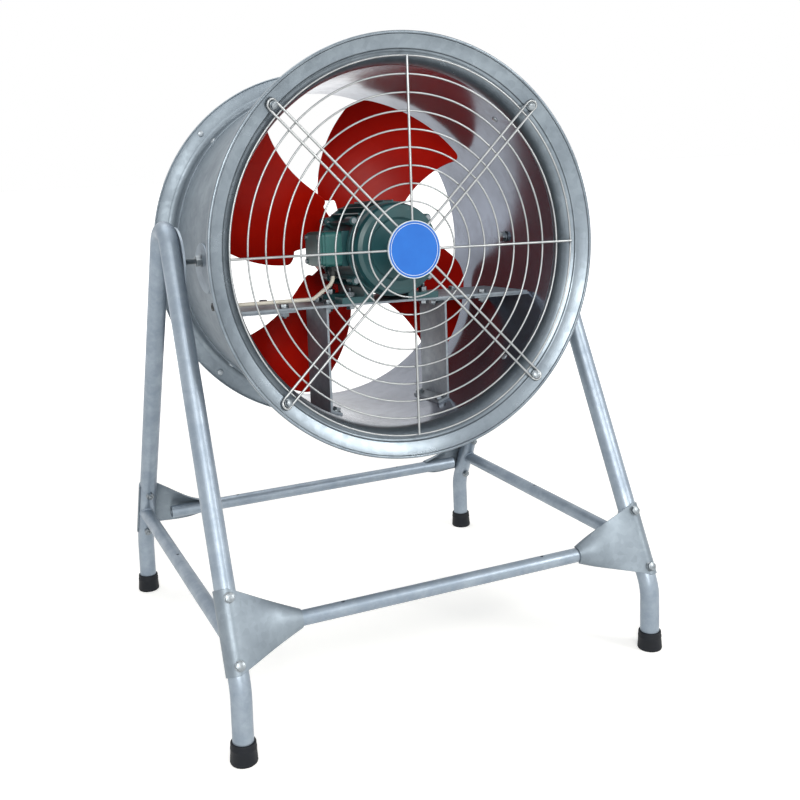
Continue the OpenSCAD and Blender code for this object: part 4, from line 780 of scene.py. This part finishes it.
pivot = {"size": 10, "inside": 297, "pad": 304.7, "lockNut": 349.95, "tail": 6, "washer": 2,
         "washerPlay": 0.02, "plain": 9, "pitch": 1.5, "headTurn": 8, "jamTurn": 12, "lockTurn": -7}
for side, sideName in sideNames.items():
    place = drumFrame @ turn(side * 90, "Y")
    size, inside = pivot["size"], pivot["inside"]
    end = pivot["lockNut"] + fastener["nut"] * size + pivot["tail"]
    rod = Parts().add(hexHead(size), place @ move(z=inside) @ flip(z=-1)
                      @ turn(pivot["headTurn"] * side, "Z"))
    rod.add(threadedRod(size / 2, inside, end, inside + pivot["plain"], pivot["pitch"]), place)
    makePiece(f"{sideName}PivotBolt", rod, "drum", zinc, [f"{sideName}_pivot_bolt"])
nuts = Parts()
for side in sideNames:
    place, size, play = drumFrame @ turn(side * 90, "Y"), pivot["size"], pivot["washerPlay"]
    thick = pivot["washer"] - play
    nuts.add(washerFor(size, pivot["inside"] + play, pivot["inside"] + thick), place)
    nuts.add(washerFor(size, pivot["pad"], pivot["pad"] + thick), place)
    nuts.add(hexNut(size, pivot["pad"] + pivot["washer"], pivot["jamTurn"]), place)
    nuts.add(hexNut(size, pivot["lockNut"], pivot["lockTurn"]), place)
makePiece("pivotNutSet", nuts, "drum", zinc, ["pivot_nuts"])

aroundDrum = (45, 135, 225, 315)  # grille bolts and rivets sit midway between the single spokes
grille = {"boltRadius": 328, "size": 6, "spoke": 4, "seat": 0.4, "washer": 14, "tip": 2.0,
          "lift": 0.2, "turnShare": 3}
bolts = Parts()
for a in aroundDrum:
    radius, under = grille["boltRadius"], grille["spoke"] + grille["seat"]
    place = (mountFrame @ turn(-a, "Y") @ move(x=radius, y=flangeY(radius))
             @ turn(bell["sweep"] - 90, "Z") @ turn(90, "X") @ turn(180, "X"))
    bolts.add(boltStack(grille["size"], under + bell["sheet"] + seatGap, grille["tip"],
                        washer=grille["washer"], twist=a / grille["turnShare"]),
              place @ move(z=-under - grille["lift"]))
makePiece("grilleBoltSet", bolts, "drum", zinc, ["grille_bolts"])

mount = {"plateTop": -90, "sheet": 4, "uprightX": 114, "uprightFront": 96, "uprightDepth": 100,
         "tab": 18, "bracketBoltX": 191.1, "bracketBoltsY": (-94, 20), "size": 8, "tip": 3,
         "shellPlay": 0.6, "seat": 0.45, "tabShare": 4, "footShare": 2.6, "placeTurn": 23,
         "sideTurn": 7, "footTurn": 14, "footSideTurn": 9}
bolts = Parts()
sheet, depth = mount["sheet"], mount["uprightDepth"]
uprightMid = depth / 2 - mount["uprightFront"]
tabX = mount["uprightX"] - sheet / 2 - mount["tab"] / 2
footAngle = math.degrees(math.acos(tabX / drumPlace["throat"]))
for side in sideNames:
    places = [(side * mount["bracketBoltX"], y) for y in mount["bracketBoltsY"]]
    places += [(side * tabX, uprightMid + end * depth / mount["tabShare"]) for end in endNames]
    for k, (x, y) in enumerate(places):
        one = boltStack(mount["size"], 2 * sheet + seatGap, mount["tip"],
                        twist=mount["placeTurn"] * k + mount["sideTurn"] * side)
        bolts.add(one, mountFrame @ move(x, y, mount["plateTop"]) @ turn(180, "X"))
    for end in endNames:
        one = boltStack(mount["size"], sheet + drumPlace["sheet"] + mount["shellPlay"],
                        mount["tip"], twist=mount["footTurn"] * end + mount["footSideTurn"] * side)
        bolts.add(one, mountFrame @ flip(x=side) @ turn(footAngle, "Y")
                  @ move(drumPlace["throat"] - sheet - mount["seat"],
                         uprightMid + end * depth / mount["footShare"]) @ turn(90, "Y"))
makePiece("mountBoltSet", bolts, "drum", zinc, ["mount_bolts"])

# the motor's foot bolts come up through the feet, so their threads and nuts show
motorFoot = {"x": 70, "middle": -49, "y": 45, "top": -79, "under": -94, "size": 8, "stud": 9,
             "sideTurn": 19, "endTurn": 8}
bolts = Parts()
for side, end in legs:
    one = boltStack(motorFoot["size"], motorFoot["top"] - motorFoot["under"], motorFoot["stud"],
                    underNut=True, twist=motorFoot["sideTurn"] * side + motorFoot["endTurn"] * end)
    bolts.add(one, mountFrame @ move(side * motorFoot["x"],
              motorFoot["middle"] + end * motorFoot["y"], motorFoot["under"]))
makePiece("motorFootBoltSet", bolts, "drum", zinc, ["motor_foot_bolts"])

ringRivet = {"head": 12, "height": 2.4, "frontY": -124.7, "rearY": 189, "flangeRadius": 326,
             "domePower": 0.8, "domeSteps": 8, "sides": 32, "wallGrip": 3.8, "wallSink": 0.1,
             "flangeGrip": 2.1, "flangeSink": 2.05}


def domedRivet(grip):
    # two domed heads on a shank along Z from 0 to the grip
    head, height, profile = ringRivet["head"] / 2, ringRivet["height"], []
    for end, way in ((0, -1), (grip, 1)):
        dome = [(head * math.cos(a), end + way * height * math.sin(a) ** ringRivet["domePower"])
                for a in arc(0, math.pi / 2, ringRivet["domeSteps"])]
        profile += dome[::-1] if way < 0 else dome
    return lathe(profile, ringRivet["sides"], closed=False)


rivets = Parts()
for a in aroundDrum:
    spin = drumFrame @ turn(-a, "Y")
    for y in (ringRivet["frontY"], ringRivet["rearY"]):
        rivets.add(domedRivet(ringRivet["wallGrip"]),
                   spin @ move(drumPlace["throat"] - ringRivet["wallSink"], y) @ turn(90, "Y"))
    rivets.add(domedRivet(ringRivet["flangeGrip"]),
               spin @ move(ringRivet["flangeRadius"], rearRing["face"] - ringRivet["flangeSink"])
               @ turn(-90, "X"))
makePiece("ringRivetSet", rivets, "drum", dullZinc, ["ring_rivets"])
print("drum fasteners made")

# badge: bare blue disc with a thin pale ring and a pale edge; points are steps in from the radius
# and depths behind the front plane

badge = {"radius": 47.5, "face": -209.1, "thick": 3.9, "sunk": 0.9, "rim": ((4.5, 0.9), (4.0, 0.3)),
         "discEdge": 1.6, "round": 1.0, "roundSteps": 4, "edgeIn": 1.5,
         "edgeFront": ((1.5, 0.5), (1.1, 0.1), (0.5, 0.1), (0, 0.6)), "ringRadius": 42.5,
         "ringWidth": 0.9, "ringFront": 0.6, "ringRound": 0.2, "ringBack": 1.1, "sides": 96}


def badgeDisc():
    edge, back, e = badge["radius"] - badge["discEdge"], badge["thick"], badge["round"]
    profile = [(0, badge["sunk"])] + [(badge["radius"] - cut, deep) for cut, deep in badge["rim"]]
    profile += [(edge - e + e * math.sin(a), e - e * math.cos(a))
                for a in arc(0, math.pi / 2, badge["roundSteps"])]
    return lathe(profile + [(edge, back), (0, back)], badge["sides"], closed=False)


def badgeEdge():
    r, back = badge["radius"], badge["thick"]
    return lathe([(r - cut, deep) for cut, deep in badge["edgeFront"]]
                 + [(r, back), (r - badge["edgeIn"], back)], badge["sides"])


def badgeRing():
    near = badge["ringRadius"] - badge["ringWidth"] / 2
    far = badge["ringRadius"] + badge["ringWidth"] / 2
    front, e, back = badge["ringFront"], badge["ringRound"], badge["ringBack"]
    return lathe([(near, front + e), (near + e, front), (far - e, front), (far, front + e),
                  (far, back), (near, back)], badge["sides"])


badgeFrame = mountFrame @ move(y=badge["face"]) @ alongDrum
makePiece("badgeDisc", Parts().add(badgeDisc(), badgeFrame), "drum", blue, ["badge"])
makePiece("badgeEdge", Parts().add(badgeEdge(), badgeFrame), "drum", pale, [])
makePiece("badgeRing", Parts().add(badgeRing(), badgeFrame), "drum", pale, [])
print("badge made")

# floor, lights, camera; places and sizes in metres, as Blender's own


def backgroundRays(tree):
    # 1 for rays that show the background plainly: from the camera, off gloss or through glass
    rays = addNode(tree, "ShaderNodeLightPath", {})
    seen = addNode(tree, "ShaderNodeMath", {0: rays.outputs["Is Camera Ray"],
                   1: rays.outputs["Is Glossy Ray"]}, operation="MAXIMUM")
    return addNode(tree, "ShaderNodeMath", {0: seen.outputs[0],
                   1: rays.outputs["Is Transmission Ray"]}, operation="MAXIMUM").outputs[0]


scene = bpy.context.scene
# a pale sheet that glows with distance, so that its far part joins the white background
floorLook = {"half": 40, "dark": "#F2F2F0", "light": "#F6F6F4", "mottle": 1000 / 3,
             "near": 0.42, "far": 1.0, "nearRadius": 1.0, "farRadius": 3.2}
floorMesh = bpy.data.meshes.new("paleFloor")
half = floorLook["half"]
floorMesh.from_pydata([(-half, -half, 0), (half, -half, 0), (half, half, 0), (-half, half, 0)], [],
                      [(0, 1, 2, 3)])
floor = bpy.data.objects.new("paleFloor", floorMesh)
scene.collection.objects.link(floor)
paper, paperTree, paperShader, paperWhere = newMaterial("palePaperFloor", Roughness=0.9,
                                                        Emission_Color=(1, 1, 1, 1))
mottle = addNode(paperTree, "ShaderNodeTexNoise", {"Vector": paperWhere,
                 "Scale": perMetre(floorLook["mottle"])})
addNode(paperTree, "ShaderNodeMix", {0: mottle.outputs[0], 6: srgb(floorLook["dark"]),
        7: srgb(floorLook["light"])}, {2: paperShader.inputs["Base Color"]}, data_type="RGBA")
away = addNode(paperTree, "ShaderNodeVectorMath", {0: paperWhere}, operation="LENGTH")
lift = addNode(paperTree, "ShaderNodeMapRange", {"Value": away.outputs["Value"],
               "From Min": floorLook["nearRadius"], "From Max": floorLook["farRadius"],
               "To Min": floorLook["near"], "To Max": floorLook["far"]})
addNode(paperTree, "ShaderNodeMath", {0: backgroundRays(paperTree), 1: lift.outputs[0]},
        {0: paperShader.inputs["Emission Strength"]}, operation="MULTIPLY")
floorMesh.materials.append(paper)

skyLook = {"onObject": 0.36, "shown": 1.0}
world = bpy.data.worlds.new("studio")
scene.world = world
world.use_nodes = True
sky = world.node_tree
sky.nodes.clear()
strength = addNode(sky, "ShaderNodeMapRange", {"Value": backgroundRays(sky),
                   "To Min": skyLook["onObject"], "To Max": skyLook["shown"]})
background = addNode(sky, "ShaderNodeBackground", {"Color": (1, 1, 1, 1),
                     "Strength": strength.outputs[0]})
addNode(sky, "ShaderNodeOutputWorld", {"Surface": background.outputs[0]})

lampLook = {"colour": (1.0, 0.975, 0.93), "aim": (0, 0, 0.6)}
lamps = {
    "keyPanel": {"place": (-1.1, -3.0, 1.8), "wide": 1.8, "high": 1.4, "power": 66},
    "fillPanel": {"place": (2.0, -2.5, 2.0), "wide": 1.1, "high": 1.1, "power": 42},
    "topPanel": {"place": (-0.4, 0.6, 3.0), "wide": 2.0, "high": 2.0, "power": 28},
}
for name, lamp in lamps.items():
    light = bpy.data.lights.new(name, "AREA")
    light.shape, light.size, light.size_y = "RECTANGLE", lamp["wide"], lamp["high"]
    light.energy, light.color = lamp["power"], lampLook["colour"]
    panel = bpy.data.objects.new(name, light)
    panel.location = lamp["place"]
    aim = Vector(lampLook["aim"]) - Vector(lamp["place"])
    panel.rotation_euler = aim.to_track_quat("-Z", "Y").to_euler()
    scene.collection.objects.link(panel)

# the photo's camera: place in millimetres, angles in degrees, focal length and centre in pixels of
# the photo's frame, sensor in millimetres, clip in metres
cameraView = {"place": (-727.7, -1668.6, 888.4), "yaw": -22.89, "pitch": 10.97, "roll": -2.35,
              "focal": 994.9, "centreX": 356.2, "centreY": 348.3, "frame": 800, "sensor": 36,
              "clip": 200}
yaw, pitch, roll = (math.radians(cameraView[key]) for key in ("yaw", "pitch", "roll"))
backward = Vector((math.sin(yaw) * math.cos(pitch), -math.cos(yaw) * math.cos(pitch),
                   math.sin(pitch)))
level = Vector((math.cos(yaw), math.sin(yaw), 0))
upward = backward.cross(level)
right = math.cos(roll) * level + math.sin(roll) * upward
top = -math.sin(roll) * level + math.cos(roll) * upward
lens = bpy.data.cameras.new("photoCamera")
lens.sensor_width = cameraView["sensor"]
lens.lens = cameraView["focal"] / cameraView["frame"] * cameraView["sensor"]
lens.shift_x = (cameraView["frame"] / 2 - cameraView["centreX"]) / cameraView["frame"]
lens.shift_y = -(cameraView["frame"] / 2 - cameraView["centreY"]) / cameraView["frame"]
lens.clip_end = cameraView["clip"]
camera = bpy.data.objects.new("photoCamera", lens)
camera.matrix_world = (Matrix.Translation(Vector(cameraView["place"]) * mm)
                       @ Matrix((right, top, backward)).transposed().to_4x4())
scene.collection.objects.link(camera)
scene.camera = camera
scene.view_settings.view_transform = "Standard"
print("stage, lights and camera placed")
